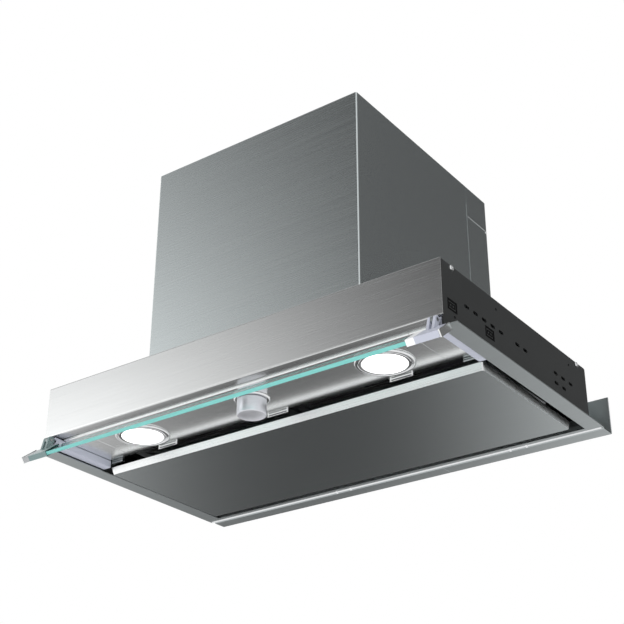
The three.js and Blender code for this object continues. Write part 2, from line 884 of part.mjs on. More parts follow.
// Right-hand grease filter: a frame with slotted baffles across it and a recess for the latch.
function greaseFilter() {
  const x0 = trayRimMiddle - filterLap;
  const x1 = openingSide + filterLap;
  const y0 = openingFront - filterLap;
  const y1 = openingRear + filterLap;
  let body = block(x0, x1, y0, y1, filterTop - filterHeight, filterTop);
  const bandStart = y0 + filterFrame + latchWidth;
  const pitch = (y1 - filterFrame - bandStart) / filterSlots;
  const thickness = filterHeight / 3;
  const inner = [x0 + filterFrame, x1 - filterFrame];
  const recess = [bandStart, y1 - filterFrame];
  body = cut(
    body,
    block(...inner, ...recess, filterTop - filterHeight - past, filterTop - filterHeight + thickness),
    block(...inner, ...recess, filterTop - thickness, filterTop + past),
  );
  for (let k = 0; k < filterSlots; k++) {
    const y = bandStart + (k + 0.5) * pitch;
    const slot = roundedRectangle(
      inner[0] + filterFrame / 2,
      inner[1] - filterFrame / 2,
      y - filterSlotWidth / 2,
      y + filterSlotWidth / 2,
      filterSlotWidth / 2 - running,
    );
    body = cut(body, alongZ(slot, filterTop - filterHeight - past, filterTop + past));
  }
  return cut(body, latchPocket((x0 + x1) / 2, y0));
}

const latchBottom = filterTop - filterHeight - latchHeight / 2;

// Space for the latch and its travel, in the front bar of the filter.
function latchPocket(x, y0) {
  return block(
    x - latchLength / 2 - seat,
    x + latchLength / 2 + seat,
    y0 + filterFrame / 2 - seat,
    y0 + filterFrame / 2 + latchWidth + latchTravel + 2 * seat,
    filterTop - filterHeight - past,
    latchBottom + latchHeight + seat,
  );
}

// Sliding latch of a filter, with a finger bar.
function filterLatch() {
  const x = (trayRimMiddle + openingSide) / 2;
  const y0 = openingFront - filterLap + filterFrame / 2;
  const ends = [x - latchLength / 2, x + latchLength / 2];
  const body = block(...ends, y0, y0 + latchWidth, latchBottom, latchBottom + latchHeight);
  const bar = rodX(y0 + latchWidth / 2, latchBottom, latchHeight / 2, ...ends, pinSteps);
  return join(body, bar);
}

// ---- Motor box ----

const boxBottom = coverTop + seat;
const lidSkirtBottom = boxTop - boxSkirt;

// Front wrap: one sheet round the front and both sides.
function boxFrontWrap() {
  const path = [
    [boxHalf, boxSeam],
    [boxHalf, boxFront],
    [-boxHalf, boxFront],
    [-boxHalf, boxSeam],
  ];
  return alongZ(folded(path.reverse(), sheet), boxBottom, boxTop);
}

// The rear wrap and the lid's skirt follow the same line behind the seam.
function rearLine() {
  return folded(
    [
      [boxHalf, boxSeam + seat],
      [boxHalf, boxRear],
      [-boxHalf, boxRear],
      [-boxHalf, boxSeam + seat],
    ],
    sheet,
  );
}

function boxRearWrap() {
  const reach = boxHalf - sheet / 2;
  const depth = [bodyDepth + seat, boxRear - sheet / 2];
  const floor = block(-reach, reach, ...depth, boxBottom, boxBottom + sheet);
  return join(alongZ(rearLine(), boxBottom, lidSkirtBottom - seat), floor);
}

// Lid: a plate inside the front wrap, with a skirt over the rear wrap and the outlet hole.
function boxLid() {
  const reach = boxHalf - sheet - seat;
  const top = boxTop - seat;
  const front = block(-reach, reach, boxFront + sheet + seat, boxSeam + seat + past, top - sheet, top);
  const rear = block(
    -boxHalf + sheet / 2,
    boxHalf - sheet / 2,
    boxSeam + seat,
    boxRear - sheet / 2,
    top - sheet,
    top,
  );
  const skirt = alongZ(rearLine(), lidSkirtBottom, top);
  const hole = rodZ(0, outletSetback, outletRadius - outletWall, top - 2 * sheet, top + past);
  return cut(join(front, rear, skirt), hole);
}

// ---- Blower ----

// Radius of the scroll at an angle swept from its tongue, as a share of the whole sweep.
const spiral = (share, wall) => scrollRadius + scrollGrowth * share + wall;

// Outline of the scroll in (y, z): a growing spiral from the tongue, clockwise under the shaft,
// then straight up to the outlet.
function scrollOutline(wall, top) {
  const points = [];
  const start = THREE.MathUtils.degToRad(scrollStart);
  const end = 2 * Math.PI;
  const steps = roundSteps;
  for (let k = 0; k <= steps; k++) {
    const share = k / steps;
    const angle = start + (end - start) * share;
    const radius = spiral(share, wall);
    points.push([
      blowerSetback + radius * Math.cos(angle),
      blowerRise + radius * Math.sin(angle),
    ]);
  }
  points.push([blowerSetback + spiral(1, wall), top]);
  points.push([blowerSetback + scrollTongue - wall, top]);
  return polygon(points);
}

const scrollTop = boxTop - sheet - 2 * seat;

function blowerScroll() {
  const outer = alongX(scrollOutline(scrollWall, scrollTop), -scrollHalf, scrollHalf);
  const inner = alongX(
    scrollOutline(0, scrollTop + past),
    -scrollHalf + scrollWall,
    scrollHalf - scrollWall,
  );
  const mouths = [-1, 1].map((side) => {
    const lipEnd = side * (scrollHalf + inletLip);
    const ends = [side * (scrollHalf - scrollWall), lipEnd].sort((a, b) => a - b);
    return rodX(blowerSetback, blowerRise, inletRadius + scrollWall, ...ends);
  });
  const bore = rodX(
    blowerSetback,
    blowerRise,
    inletRadius,
    -scrollHalf - inletLip - past,
    scrollHalf + inletLip + past,
  );
  const outlet = block(
    -scrollHalf + scrollWall,
    scrollHalf - scrollWall,
    blowerSetback + scrollTongue + scrollWall,
    blowerSetback + spiral(1, 0),
    blowerRise + scrollRadius,
    scrollTop + past,
  );
  return cut(join(outer, ...mouths), inner, bore, outlet);
}

// One forward-curved blade as a section in (y, z), at angle 0.
function bladeSection() {
  const inner = impellerRadius - bladeDepth;
  const sweep = THREE.MathUtils.degToRad(bladeSweep);
  const steps = bendSteps;
  const front = [];
  const rear = [];
  for (let k = 0; k <= steps; k++) {
    const share = k / steps;
    const radius = inner + (bladeDepth - sheet) * share;
    const angle = sweep * share * share;
    const lag = bladeSheet / radius;
    front.push([radius * Math.cos(angle), radius * Math.sin(angle)]);
    rear.push([radius * Math.cos(angle - lag), radius * Math.sin(angle - lag)]);
  }
  return polygon([...rear, ...front.reverse()]);
}

// Double-inlet impeller: a middle disc with its hub, and blades between two end rings.
function impeller() {
  const inner = impellerRadius - bladeDepth;
  const section = bladeSection();
  const ringAt = (x0) => {
    const outer = rodX(0, 0, impellerRadius, x0, x0 + impellerRing);
    return cut(outer, rodX(0, 0, inner + bladeDepth / 2, x0 - past, x0 + impellerRing + past));
  };
  let body = rodX(0, 0, impellerRadius, -sheet, sheet);
  body = join(body, rodX(0, 0, hubRadius, -motorStep + seat, motorStep - seat, pinSteps));
  body = join(body, ringAt(-impellerHalf), ringAt(impellerHalf - impellerRing));
  for (let k = 0; k < bladeCount; k++) {
    const blade = extruded(section, 2 * impellerHalf - sheet);
    blade.applyMatrix4(new THREE.Matrix4().makeBasis(Y, Z, X));
    blade.translate(-impellerHalf + sheet / 2, 0, 0);
    blade.rotateX((2 * Math.PI * k) / bladeCount);
    body = join(body, solid(blade));
  }
  body = cut(body, rodX(0, 0, shaftRadius + running, -2 * motorStep, 2 * motorStep, pinSteps));
  return body.translate([0, blowerSetback, blowerRise]);
}

// Motor in one mouth of the impeller, with its shaft through the hub.
function blowerMotor() {
  const start = motorStep;
  const end = start + motorLength;
  const profile = [
    [0, -motorStep],
    [shaftRadius, -motorStep],
    [shaftRadius, start],
    [motorNose, start],
    [motorRadius, start + motorShoulder],
    [motorRadius, end - motorShoulder],
    [motorNose, end],
    [0, end],
  ];
  const points = profile.map(([radius, height]) => new THREE.Vector2(radius, height));
  const geometry = new THREE.LatheGeometry(points, roundSteps);
  geometry.rotateZ(-Math.PI / 2).translate(0, blowerSetback, blowerRise);
  return solid(geometry);
}

// Three-armed bracket between the rim of the inlet and the motor.
function motorBracket() {
  const x0 = scrollHalf + inletLip + seat;
  const outer = inletRadius + scrollWall;
  const centre = [blowerSetback, blowerRise];
  const ends = [x0, x0 + bracketSheet];
  const through = [x0 - past, ends[1] + past];
  let body = cut(rodX(...centre, outer, ...ends), rodX(...centre, outer - bracketRing, ...through));
  const band = rodX(...centre, motorRadius + seat + bracketRing, ...ends);
  body = join(body, band);
  for (const angle of [Math.PI / 2, (7 * Math.PI) / 6, (11 * Math.PI) / 6]) {
    const arm = new THREE.BoxGeometry(bracketSheet, outer - motorRadius - past, 2 * bracketRing);
    arm.translate(x0 + bracketSheet / 2, (outer + motorRadius) / 2, 0);
    arm.rotateX(angle).translate(0, ...centre);
    body = join(body, solid(arm));
  }
  return cut(body, rodX(...centre, motorRadius + seat, ...through));
}

// ---- Duct outlet ----

function outletCollar() {
  const bottom = lidTop;
  const top = bottom + outletHeight;
  const bead = top - outletHeight / 4;
  const inner = outletRadius - outletWall;
  const profile = ring([
    [inner, bottom],
    [outletRadius + outletFlange, bottom],
    [outletRadius + outletFlange, bottom + 2 * outletWall],
    [outletRadius, bottom + 2 * outletWall],
    [outletRadius, bead - 2 * outletBead],
    [outletRadius + outletBead, bead],
    [outletRadius, bead + 2 * outletBead],
    [outletRadius, top],
    [inner, top],
  ]);
  const body = turned(profile, 0, outletSetback);
  const rodHalf = inner + outletWall / 2;
  const rod = rodX(outletSetback, flapAxis, flapRod, -rodHalf, rodHalf, pinSteps);
  return join(body, rod);
}

// A half-round flap with its knuckles round the rod. The rear one is at side 1, the front one
// at side -1, and their knuckles alternate along the rod.
function outletFlap(side) {
  const radius = outletRadius - outletWall - flapGap;
  const knuckleOuter = flapRod + running + knuckleWall;
  const from = knuckleOuter + flapSheet / 2;
  const between = (a, b) => [side * a, side * b].sort((p, q) => p - q);
  const thickness = [-flapSheet / 2, flapSheet / 2];
  const disc = rodZ(0, 0, radius, ...thickness);
  let body = disc.intersect(block(-radius, radius, ...between(from, radius + past), ...thickness));
  const firsts = side > 0 ? [-2 * knuckleLength, knuckleLength] : [-knuckleLength, 2 * knuckleLength];
  for (const middle of firsts.map((x) => x - knuckleLength / 2)) {
    const ends = [middle - knuckleLength / 2 + seat, middle + knuckleLength / 2 - seat];
    const web = block(...ends, ...between(0, from + past), ...thickness);
    body = join(body, web, rodX(0, 0, knuckleOuter, ...ends, pinSteps));
    body = cut(body, rodX(0, 0, flapRod + running, ends[0] - past, ends[1] + past, pinSteps));
  }
  return body.translate([0, outletSetback, flapAxis]);
}

// ---- Electrics on the top cover, beside the motor box ----

const controlEnds = [boxHalf + boxMargin, half - foldDepth - boxMargin];
const controlBottom = coverTop + seat;
const controlLidBottom = controlBottom + controlHeight - controlLid;

// The box is on the left, so its places are negated.
function controlBox() {
  const outline = roundedRectangle(
    -controlEnds[1],
    -controlEnds[0],
    controlSetback,
    controlSetback + controlDepth,
    panelCorner,
  );
  const body = alongZ(outline, controlBottom, controlLidBottom - seat);
  const hollow = block(
    -controlEnds[1] + controlLid,
    -controlEnds[0] - controlLid,
    controlSetback + controlLid,
    controlSetback + controlDepth - controlLid,
    controlBottom + controlLid,
    controlLidBottom + past,
  );
  const bore = rodY(
    -(controlEnds[0] + controlEnds[1]) / 2,
    (controlBottom + controlLidBottom) / 2,
    glandNeck,
    controlSetback + controlDepth - 2 * controlLid,
    controlSetback + controlDepth + past,
  );
  return cut(body, hollow, bore);
}

function controlLidPlate() {
  const outline = roundedRectangle(
    -controlEnds[1],
    -controlEnds[0],
    controlSetback,
    controlSetback + controlDepth,
    panelCorner,
  );
  return alongZ(outline, controlLidBottom, controlLidBottom + controlLid);
}

// Gland on the rear wall of the control box, its bore open for the supply lead.
function cableGland() {
  const x = -(controlEnds[0] + controlEnds[1]) / 2;
  const z = (controlBottom + controlLidBottom) / 2;
  const rear = controlSetback + controlDepth;
  const neck = rodY(x, z, glandNeck - running, rear - controlLid, rear + past, pinSteps);
  const nut = rodY(x, z, glandRadius, rear + seat, rear + glandLength / 2, 6);
  const nose = new THREE.CylinderGeometry(glandNoseTip, glandNoseFoot, glandLength / 2, pinSteps);
  nose.translate(x, rear + glandLength * 0.75 - seat, z);
  const body = join(neck, nut, solid(nose));
  return cut(body, rodY(x, z, glandBore, rear - 2 * controlLid, rear + 2 * glandLength, pinSteps));
}

// Motor run capacitor on the right, lying in its strap.
function capacitor() {
  const x = (controlEnds[0] + controlEnds[1]) / 2;
  const z = controlBottom + capacitorRadius + sheet + seat;
  const y0 = controlSetback;
  const can = rodY(x, z, capacitorRadius, y0, y0 + capacitorLength, pinSteps);
  const stud = rodY(x, z, capacitorRadius / 3, y0 - capacitorRadius / 2, y0 + past, pinSteps);
  return join(can, stud);
}

function capacitorStrap() {
  const x = (controlEnds[0] + controlEnds[1]) / 2;
  const z = controlBottom + capacitorRadius + sheet + seat;
  const inner = capacitorRadius + seat / 2;
  const middle = controlSetback + capacitorLength / 2;
  const ends = [middle - strapWidth / 2, middle + strapWidth / 2];
  const band = rodY(x, z, inner + sheet, ...ends);
  const legs = block(x - inner - sheet, x + inner + sheet, ...ends, controlBottom, z);
  const footHalf = 2 * capacitorRadius;
  const feet = block(x - footHalf, x + footHalf, ...ends, controlBottom, controlBottom + sheet);
  const room = join(
    rodY(x, z, inner, ends[0] - past, ends[1] + past),
    block(x - inner, x + inner, ends[0] - past, ends[1] + past, controlBottom + sheet / 2, z),
  );
  return cut(join(band, legs, feet), room);
}

// ---- Materials ----

function finish(color, roughness, metalness) {
  return new THREE.MeshStandardMaterial({ color, roughness, metalness });
}

const steel = finish(0xb4b8b8, 0.35, 0.9);
const boxSteel = finish(0x8a9090, 0.4, 0.9);
const brightSteel = finish(0xdfe2e2, 0.2, 0.95);
const frameSteel = finish(0x868c8b, 0.45, 0.8);
const blackPaint = finish(0x35393a, 0.5, 0.2);
const darkTray = finish(0x1c1e1f, 0.7, 0.1);
const zinc = finish(0x9aa0a2, 0.5, 0.8);
const greyPlastic = finish(0xc6c9d4, 0.45, 0);
const blackPlastic = finish(0x232526, 0.55, 0);
const glass = finish(0xa0e1dc, 0.05, 0);
const lens = finish(0xffffff, 0.3, 0);
const knobMetal = finish(0xb9bcc4, 0.35, 0.8);
const aluminium = finish(0xc9cccd, 0.45, 0.9);
const motorPaint = finish(0x4a4e52, 0.5, 0.5);

// ---- Assembly ----

const hood = new THREE.Group();
hood.position.set(0, -(frameRear + spacerReach), -spacerHeight / 2);

function add(name, body, material, mirrored = false) {
  const mesh = new THREE.Mesh(geometryOf(body), material);
  mesh.name = name;
  if (mirrored) mesh.scale.x = -1;
  hood.add(mesh);
}

// A right-hand piece and its mirror image.
function addPair(name, body, material) {
  add(name + "_right", body, material);
  add(name + "_left", body, material, true);
}

add("bottom_frame", bottomFrame(), frameSteel);
addPair("side_plate", sidePlate(), blackPaint);
addPair("front_clip", cabinetClip(clipPlaces[0]), blackPlastic);
addPair("rear_clip", cabinetClip(clipPlaces[1]), blackPlastic);
add("fascia", fascia(), steel);
add("top_cover", topCover(), zinc);
add("back_plate", backPlate(), zinc);
const spacerEnd = frameOuter - spacerInset;
add("rear_spacer_left", spacer(-spacerEnd, spacerSeam), frameSteel);
add("rear_spacer_right", spacer(spacerSeam + seat, spacerEnd), frameSteel);

add("light_panel", lightPanel(), brightSteel);
addPair("light_panel_end", lightPanelEnd(), brightSteel);
addPair("lamp_bezel", lampBezel(lampSpacing), brightSteel);
addPair("lamp_lens", lampLens(lampSpacing), lens);
addPair("lamp_body", lampCan(lampSpacing), aluminium);
add("knob_ring", knobRing(), knobMetal);
add("control_knob", controlKnob(), knobMetal);
add("knob_spindle", knobSpindle(), zinc);
add("switch_body", switchBody(), blackPlastic);

add("visor_glass", visorGlass(), glass);
addPair("visor_bracket", visorBracket(), greyPlastic);
addPair("visor_end_cap", visorEndCap(), brightSteel);
addPair("visor_arm", visorArm(), zinc);
addPair("visor_guide", visorGuide(), greyPlastic);

add("suction_panel", suctionPanel(), steel);
addPair("hinge_bracket", hingeBracket(), zinc);
add("filter_tray", filterTray(), darkTray);
addPair("grease_filter", greaseFilter(), aluminium);
addPair("filter_latch", filterLatch(), blackPlastic);

add("motor_box_front", boxFrontWrap(), boxSteel);
add("motor_box_rear", boxRearWrap(), boxSteel);
add("motor_box_lid", boxLid(), boxSteel);
add("blower_scroll", blowerScroll(), blackPlastic);
add("blower_impeller", impeller(), blackPlastic);
add("blower_motor", blowerMotor(), motorPaint);
add("motor_bracket", motorBracket(), zinc);
add("outlet_collar", outletCollar(), blackPlastic);
add("outlet_flap_rear", outletFlap(1), blackPlastic);
add("outlet_flap_front", outletFlap(-1), blackPlastic);

add("control_box", controlBox(), blackPlastic);
add("control_box_lid", controlLidPlate(), blackPlastic);
add("cable_gland", cableGland(), blackPlastic);
add("capacitor", capacitor(), aluminium);
add("capacitor_strap", capacitorStrap(), zinc);

const part = new THREE.Group();
part.add(hood);
export default part;
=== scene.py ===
import json
import math

import bmesh
import bpy
from mathutils import Matrix, Vector


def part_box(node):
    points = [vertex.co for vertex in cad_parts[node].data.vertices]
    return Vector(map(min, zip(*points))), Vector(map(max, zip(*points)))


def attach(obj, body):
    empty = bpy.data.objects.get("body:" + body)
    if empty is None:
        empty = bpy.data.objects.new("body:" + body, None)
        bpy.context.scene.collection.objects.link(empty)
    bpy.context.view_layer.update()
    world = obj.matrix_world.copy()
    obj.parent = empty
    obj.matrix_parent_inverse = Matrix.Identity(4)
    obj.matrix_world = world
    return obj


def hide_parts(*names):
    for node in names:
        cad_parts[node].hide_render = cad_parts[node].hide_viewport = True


# The looks of a built-in pull-out range hood, and the small pieces on it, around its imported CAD
# model. The origin is in the middle of the rear spacer's back face, +X goes to the hood's right,
# +Y to the wall and +Z up. The camera, the light and the stage are placed in metres. Sizes and
# places of pieces are in millimetres, or multiplied by MM.

MM = 0.001
SIDES = ((1, "right"), (-1, "left"))  # the sign of X, and the word in a name

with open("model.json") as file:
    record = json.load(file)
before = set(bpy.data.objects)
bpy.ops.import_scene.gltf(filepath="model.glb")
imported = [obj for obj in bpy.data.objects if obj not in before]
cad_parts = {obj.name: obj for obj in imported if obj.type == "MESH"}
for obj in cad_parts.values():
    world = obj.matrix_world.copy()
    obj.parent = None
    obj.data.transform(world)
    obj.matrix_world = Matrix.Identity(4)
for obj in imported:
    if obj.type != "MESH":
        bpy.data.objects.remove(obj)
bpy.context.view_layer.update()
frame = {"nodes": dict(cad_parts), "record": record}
scene = bpy.context.scene
NODES = frame["nodes"]
BODIES = frame["record"]["behaviour"]["bodies"]
BODY_OF = {node: body for body, names in BODIES.items() for node in names}
SLOT_OF = {part["node"]: part["material_slot"] for part in frame["record"]["subparts"]}


def add_object(name, data):
    made = bpy.data.objects.new(name, data)
    scene.collection.objects.link(made)
    return made


# ---- Camera, fitted to the corners in the photograph ----

CAMERA_PLACE = (0.8632, -1.37448, -0.61278)
CAMERA_RIGHT = (0.80733, 0.59011, 0.00193)
CAMERA_AHEAD = (-0.52427, 0.71562, 0.46156)
CAMERA_LENS = 75.879  # millimetres
SENSOR_WIDTH = 36  # millimetres


def make_camera():
    data = bpy.data.cameras.new("camera")
    data.sensor_width = SENSOR_WIDTH
    data.lens = CAMERA_LENS
    data.clip_start = 0.01
    data.clip_end = 100
    camera = add_object("camera", data)
    ahead = Vector(CAMERA_AHEAD).normalized()
    right = Vector(CAMERA_RIGHT)
    right = (right - right.dot(ahead) * ahead).normalized()
    up = right.cross(ahead)
    turn = Matrix((right, up, -ahead)).transposed()
    camera.matrix_world = Matrix.Translation(CAMERA_PLACE) @ turn.to_4x4()
    scene.camera = camera


# ---- Shader nodes ----

MATERIALS = {}


def new_material(name):
    """A new material, kept under its name; returns its node tree and its shader."""
    material = bpy.data.materials.new(name)
    material.use_nodes = True
    MATERIALS[name] = material
    tree = material.node_tree
    return tree, tree.nodes["Principled BSDF"]


def paint(mesh, *names):
    """Give a mesh these materials, and no others."""
    mesh.materials.clear()
    for name in names:
        mesh.materials.append(MATERIALS[name])


def feed(tree, target, inputs):
    """Give a node its inputs by name or number: sockets are linked, other values are set."""
    for key, value in inputs.items():
        if isinstance(value, bpy.types.NodeSocket):
            tree.links.new(value, target.inputs[key])
        else:
            target.inputs[key].default_value = value


def add_node(tree, kind, inputs=None, **settings):
    """A shader node with its plain properties and its inputs."""
    made = tree.nodes.new(kind)
    for key, value in settings.items():
        setattr(made, key, value)
    feed(tree, made, inputs or {})
    return made


def math_node(tree, operation, *values):
    """The output of a Math node, whose inputs are sockets or numbers."""
    return add_node(tree, "ShaderNodeMath", dict(enumerate(values)), operation=operation).outputs[0]


def mixed(tree, first, share, second):
    """A share of the first value and the rest of the second."""
    rest = math_node(tree, "MULTIPLY", second, 1 - share)
    return math_node(tree, "MULTIPLY_ADD", first, share, rest)


def object_place(tree, stretch=(1, 1, 1)):
    """Object coordinates in metres, multiplied by stretch."""
    place = add_node(tree, "ShaderNodeTexCoord").outputs["Object"]
    mapping = add_node(tree, "ShaderNodeMapping", {"Scale": stretch, "Vector": place})
    return mapping.outputs["Vector"]


def noise(tree, scale=1.0, detail=2.0, roughness=0.55, stretch=(1, 1, 1)):
    """A noise texture; its scale is per metre, and stretch multiplies it along each axis."""
    place = object_place(tree, stretch)
    inputs = {"Scale": scale, "Detail": detail, "Roughness": roughness, "Vector": place}
    return add_node(tree, "ShaderNodeTexNoise", inputs).outputs["Fac"]


NOISE_SPAN = (0.3, 0.7)  # where most of a noise's values lie
FULL_SPAN = (0.0, 1.0)


def spread(tree, value, low=0.0, high=1.0, span=NOISE_SPAN):
    """From low to high while the value crosses span, and level outside it."""
    start, end = span
    limits = {"From Min": start, "From Max": end, "To Min": low, "To Max": high}
    return add_node(tree, "ShaderNodeMapRange", {"Value": value, **limits}).outputs["Result"]


def tinted(tree, value, dark, light):
    """A colour between dark and light, by a value from 0 to 1."""
    inputs = {"A": (*dark, 1), "B": (*light, 1), "Factor": value}
    return add_node(tree, "ShaderNodeMix", inputs, data_type="RGBA").outputs["Result"]


def bump(tree, height, strength, distance):
    """A normal from a height texture; distance is its depth in millimetres."""
    inputs = {"Height": height, "Strength": strength, "Distance": distance * MM}
    return add_node(tree, "ShaderNodeBump", inputs).outputs["Normal"]


# ---- Materials ----

COOL = (0.93, 1.0, 1.01)  # the tint of most metal and paint
PLAIN = (0.985, 1.0, 1.0)  # the tint of the brightest steel

# Scales of the marks on a surface along X, Y and Z, per metre. Steel is brushed along X.
GRAIN_ALONG = 7
GRAIN_ACROSS = 2600
STREAKS = (GRAIN_ALONG, GRAIN_ACROSS, GRAIN_ACROSS)
BANDS = (GRAIN_ALONG / 6, GRAIN_ACROSS / 9, GRAIN_ACROSS / 9)
TURNING_MARKS = (60, 60, 3200)
EDGE_MARKS = (40, 900, 900)


def grey(tone, tint):
    return tuple(tone * share for share in tint)


def scaled(colour, factor):
    """A darker or a lighter colour, white at most."""
    return tuple(min(1.0, channel * factor) for channel in colour)


def brushed_steel(name, tone, roughness, contrast=0.04, scratch=0.12, tint=COOL):
    """Stainless steel with fine streaks along X in its colour, roughness and bump."""
    tree, shader = new_material(name)
    streaks = noise(tree, roughness=0.6, stretch=STREAKS)
    bands = noise(tree, detail=3.0, roughness=0.5, stretch=BANDS)
    cloud = noise(tree, scale=7)
    level = spread(tree, mixed(tree, cloud, 0.25, mixed(tree, bands, 0.5, streaks)))
    colour = grey(tone, tint)
    dark, light = scaled(colour, 1 - contrast), scaled(colour, 1 + contrast)
    inputs = {
        "Base Color": tinted(tree, level, dark, light),
        "Roughness": spread(tree, streaks, roughness * 0.85, roughness * 1.15),
        "Metallic": 1.0,
        "Normal": bump(tree, streaks, strength=scratch, distance=0.02),
    }
    feed(tree, shader, inputs)


def sheet_paint(name, tone, roughness=0.42, gloss=0.4):
    """Dark powder coat with a fine orange peel and faint dust."""
    tree, shader = new_material(name)
    peel = noise(tree, scale=900, detail=3.0)
    dust = noise(tree, scale=9, detail=4.0)
    level = spread(tree, mixed(tree, dust, 0.7, peel))
    colour = grey(tone, COOL)
    inputs = {
        "Base Color": tinted(tree, level, scaled(colour, 0.86), scaled(colour, 1.12)),
        "Roughness": spread(tree, dust, roughness - 0.05, roughness + 0.06),
        "Specular IOR Level": gloss,
        "Normal": bump(tree, peel, strength=0.25, distance=0.06),
    }
    feed(tree, shader, inputs)


def zinc_plate(name, tone, roughness):
    """Galvanised sheet with spangles."""
    tree, shader = new_material(name)
    cells = add_node(tree, "ShaderNodeTexVoronoi", {"Scale": 260, "Vector": object_place(tree)})
    parts = add_node(tree, "ShaderNodeSeparateColor", {"Color": cells.outputs["Color"]})
    fine = noise(tree, scale=1500)
    level = mixed(tree, parts.outputs["Red"], 0.7, fine)
    colour = grey(tone, COOL)
    inputs = {
        "Base Color": tinted(tree, level, scaled(colour, 0.88), scaled(colour, 1.1)),
        "Roughness": spread(tree, level, roughness - 0.06, roughness + 0.08, FULL_SPAN),
        "Metallic": 1.0,
        "Normal": bump(tree, fine, strength=0.15, distance=0.04),
    }
    feed(tree, shader, inputs)


def moulded_plastic(name, colour, roughness):
    """Moulded plastic with a fine eroded texture."""
    tree, shader = new_material(name)
    grain = noise(tree, scale=1400)
    cloud = noise(tree, scale=30, detail=3.0)
    mix = mixed(tree, cloud, 0.5, grain)
    level = spread(tree, mix)
    inputs = {
        "Base Color": tinted(tree, level, scaled(colour, 0.95), scaled(colour, 1.05)),
        "Roughness": spread(tree, mix, roughness - 0.05, roughness + 0.05),
        "Normal": bump(tree, grain, strength=0.2, distance=0.05),
    }
    feed(tree, shader, inputs)


def turned_metal(name, colour, roughness, metallic=1.0):
    """Smooth metal with fine turning marks round Z."""
    tree, shader = new_material(name)
    marks = noise(tree, stretch=TURNING_MARKS)
    level = spread(tree, marks)
    inputs = {
        "Base Color": tinted(tree, level, scaled(colour, 0.93), scaled(colour, 1.05)),
        "Roughness": spread(tree, marks, roughness * 0.85, roughness * 1.2),
        "Metallic": metallic,
        "Normal": bump(tree, marks, strength=0.2, distance=0.03),
    }
    feed(tree, shader, inputs)


def clear_glass(name, dark, light):
    """Tinted float glass."""
    tree, shader = new_material(name)
    level = spread(tree, noise(tree, scale=14))
    inputs = {
        "Base Color": tinted(tree, level, dark, light),
        "Roughness": 0.03,
        "IOR": 1.45,
        "Transmission Weight": 1.0,
    }
    feed(tree, shader, inputs)


def glass_edge(name, dark, light):
    """The polished edge of a pane, where its tint is deep, with a faint emission that paints a glow
    on it.
    """
    tree, shader = new_material(name)
    level = spread(tree, noise(tree, stretch=EDGE_MARKS))
    inputs = {
        "Base Color": tinted(tree, level, dark, light),
        "Roughness": 0.25,
        # painted glow: the edge emits a little sea green light, though the glass is no lamp
        "Emission Color": (0.30, 0.72, 0.66, 1),
        "Emission Strength": 0.06,
    }
    feed(tree, shader, inputs)


def lit_lens(name, strength):
    """A lit diffuser with the faint dots of its surface."""
    tree, shader = new_material(name)
    level = spread(tree, noise(tree, scale=2200, detail=1.0))
    inputs = {
        "Base Color": tinted(tree, level, (0.93, 0.94, 0.95), (1.0, 1.0, 1.0)),
        "Roughness": 0.4,
        "Emission Color": (1.0, 0.99, 0.97, 1),
        "Emission Strength": strength,
    }
    feed(tree, shader, inputs)


def make_materials():
    brushed_steel("fascia_steel", 0.64, roughness=0.24, contrast=0.02, scratch=0.04, tint=PLAIN)
    brushed_steel("box_steel", 0.59, roughness=0.26, contrast=0.025, scratch=0.05)
    brushed_steel("panel_steel", 0.60, roughness=0.16)
    # a brighter copy of the panel's steel, which paints a highlight on the suction panel's walls; the
    # strips under the motor box's lid use it too
    brushed_steel("lip_steel", 0.86, roughness=0.30, contrast=0.03, scratch=0.1, tint=PLAIN)
    brushed_steel("bright_steel", 0.88, roughness=0.22, scratch=0.06, tint=PLAIN)
    brushed_steel("frame_steel", 0.455, roughness=0.36)
    zinc_plate("zinc", 0.42, roughness=0.38)
    turned_metal("aluminium", (0.62, 0.63, 0.64), roughness=0.4)
    turned_metal("chrome", (0.78, 0.79, 0.80), roughness=0.12)
    turned_metal("knob_metal", (0.66, 0.67, 0.71), roughness=0.34, metallic=0.75)
    sheet_paint("black_paint", 0.021)
    sheet_paint("dark_tray", 0.002, roughness=0.8, gloss=0.08)
    sheet_paint("motor_paint", 0.07, roughness=0.35)
    moulded_plastic("black_plastic", (0.018, 0.019, 0.020), roughness=0.5)
    moulded_plastic("grey_plastic", (0.46, 0.48, 0.56), roughness=0.35)
    moulded_plastic("white_plastic", (0.86, 0.86, 0.88), roughness=0.3)
    moulded_plastic("cap_plastic", (0.36, 0.37, 0.38), roughness=0.35)
    # the left bracket's grip: a dark sea green that paints the shade on it, where the right one is
    # lilac grey
    moulded_plastic("shaded_grip_plastic", (0.17, 0.24, 0.24), roughness=0.25)
    clear_glass("visor_glass", dark=(0.60, 0.86, 0.83), light=(0.68, 0.92, 0.89))
    glass_edge("glass_edge", dark=(0.14, 0.45, 0.42), light=(0.19, 0.52, 0.49))
    lit_lens("lamp_lens", strength=1.7)


# ---- World and lamps ----

WHITE = (1, 1, 1, 1)
AMBIENT = 0.75  # the world's light on matt surfaces
MIDDLE = (0.0, -0.2, 0.12)  # of the hood, where the lamps point


def make_world():
    """White wherever the camera, glass or metal looks, and plain light on all else."""
    world = bpy.data.worlds.new("studio")
    world.use_nodes = True
    scene.world = world
    tree = world.node_tree
    tree.nodes.clear()
    ray = add_node(tree, "ShaderNodeLightPath").outputs
    seen = math_node(tree, "MAXIMUM", ray["Is Camera Ray"], ray["Is Glossy Ray"])
    seen = math_node(tree, "MAXIMUM", seen, ray["Is Transmission Ray"])
    plain = add_node(tree, "ShaderNodeBackground", {"Color": WHITE, "Strength": AMBIENT})
    white = add_node(tree, "ShaderNodeBackground", {"Color": WHITE, "Strength": 1.0})
    mix = add_node(tree, "ShaderNodeMixShader", {0: seen, 1: plain.outputs[0], 2: white.outputs[0]})
    add_node(tree, "ShaderNodeOutputWorld", {"Surface": mix.outputs[0]})


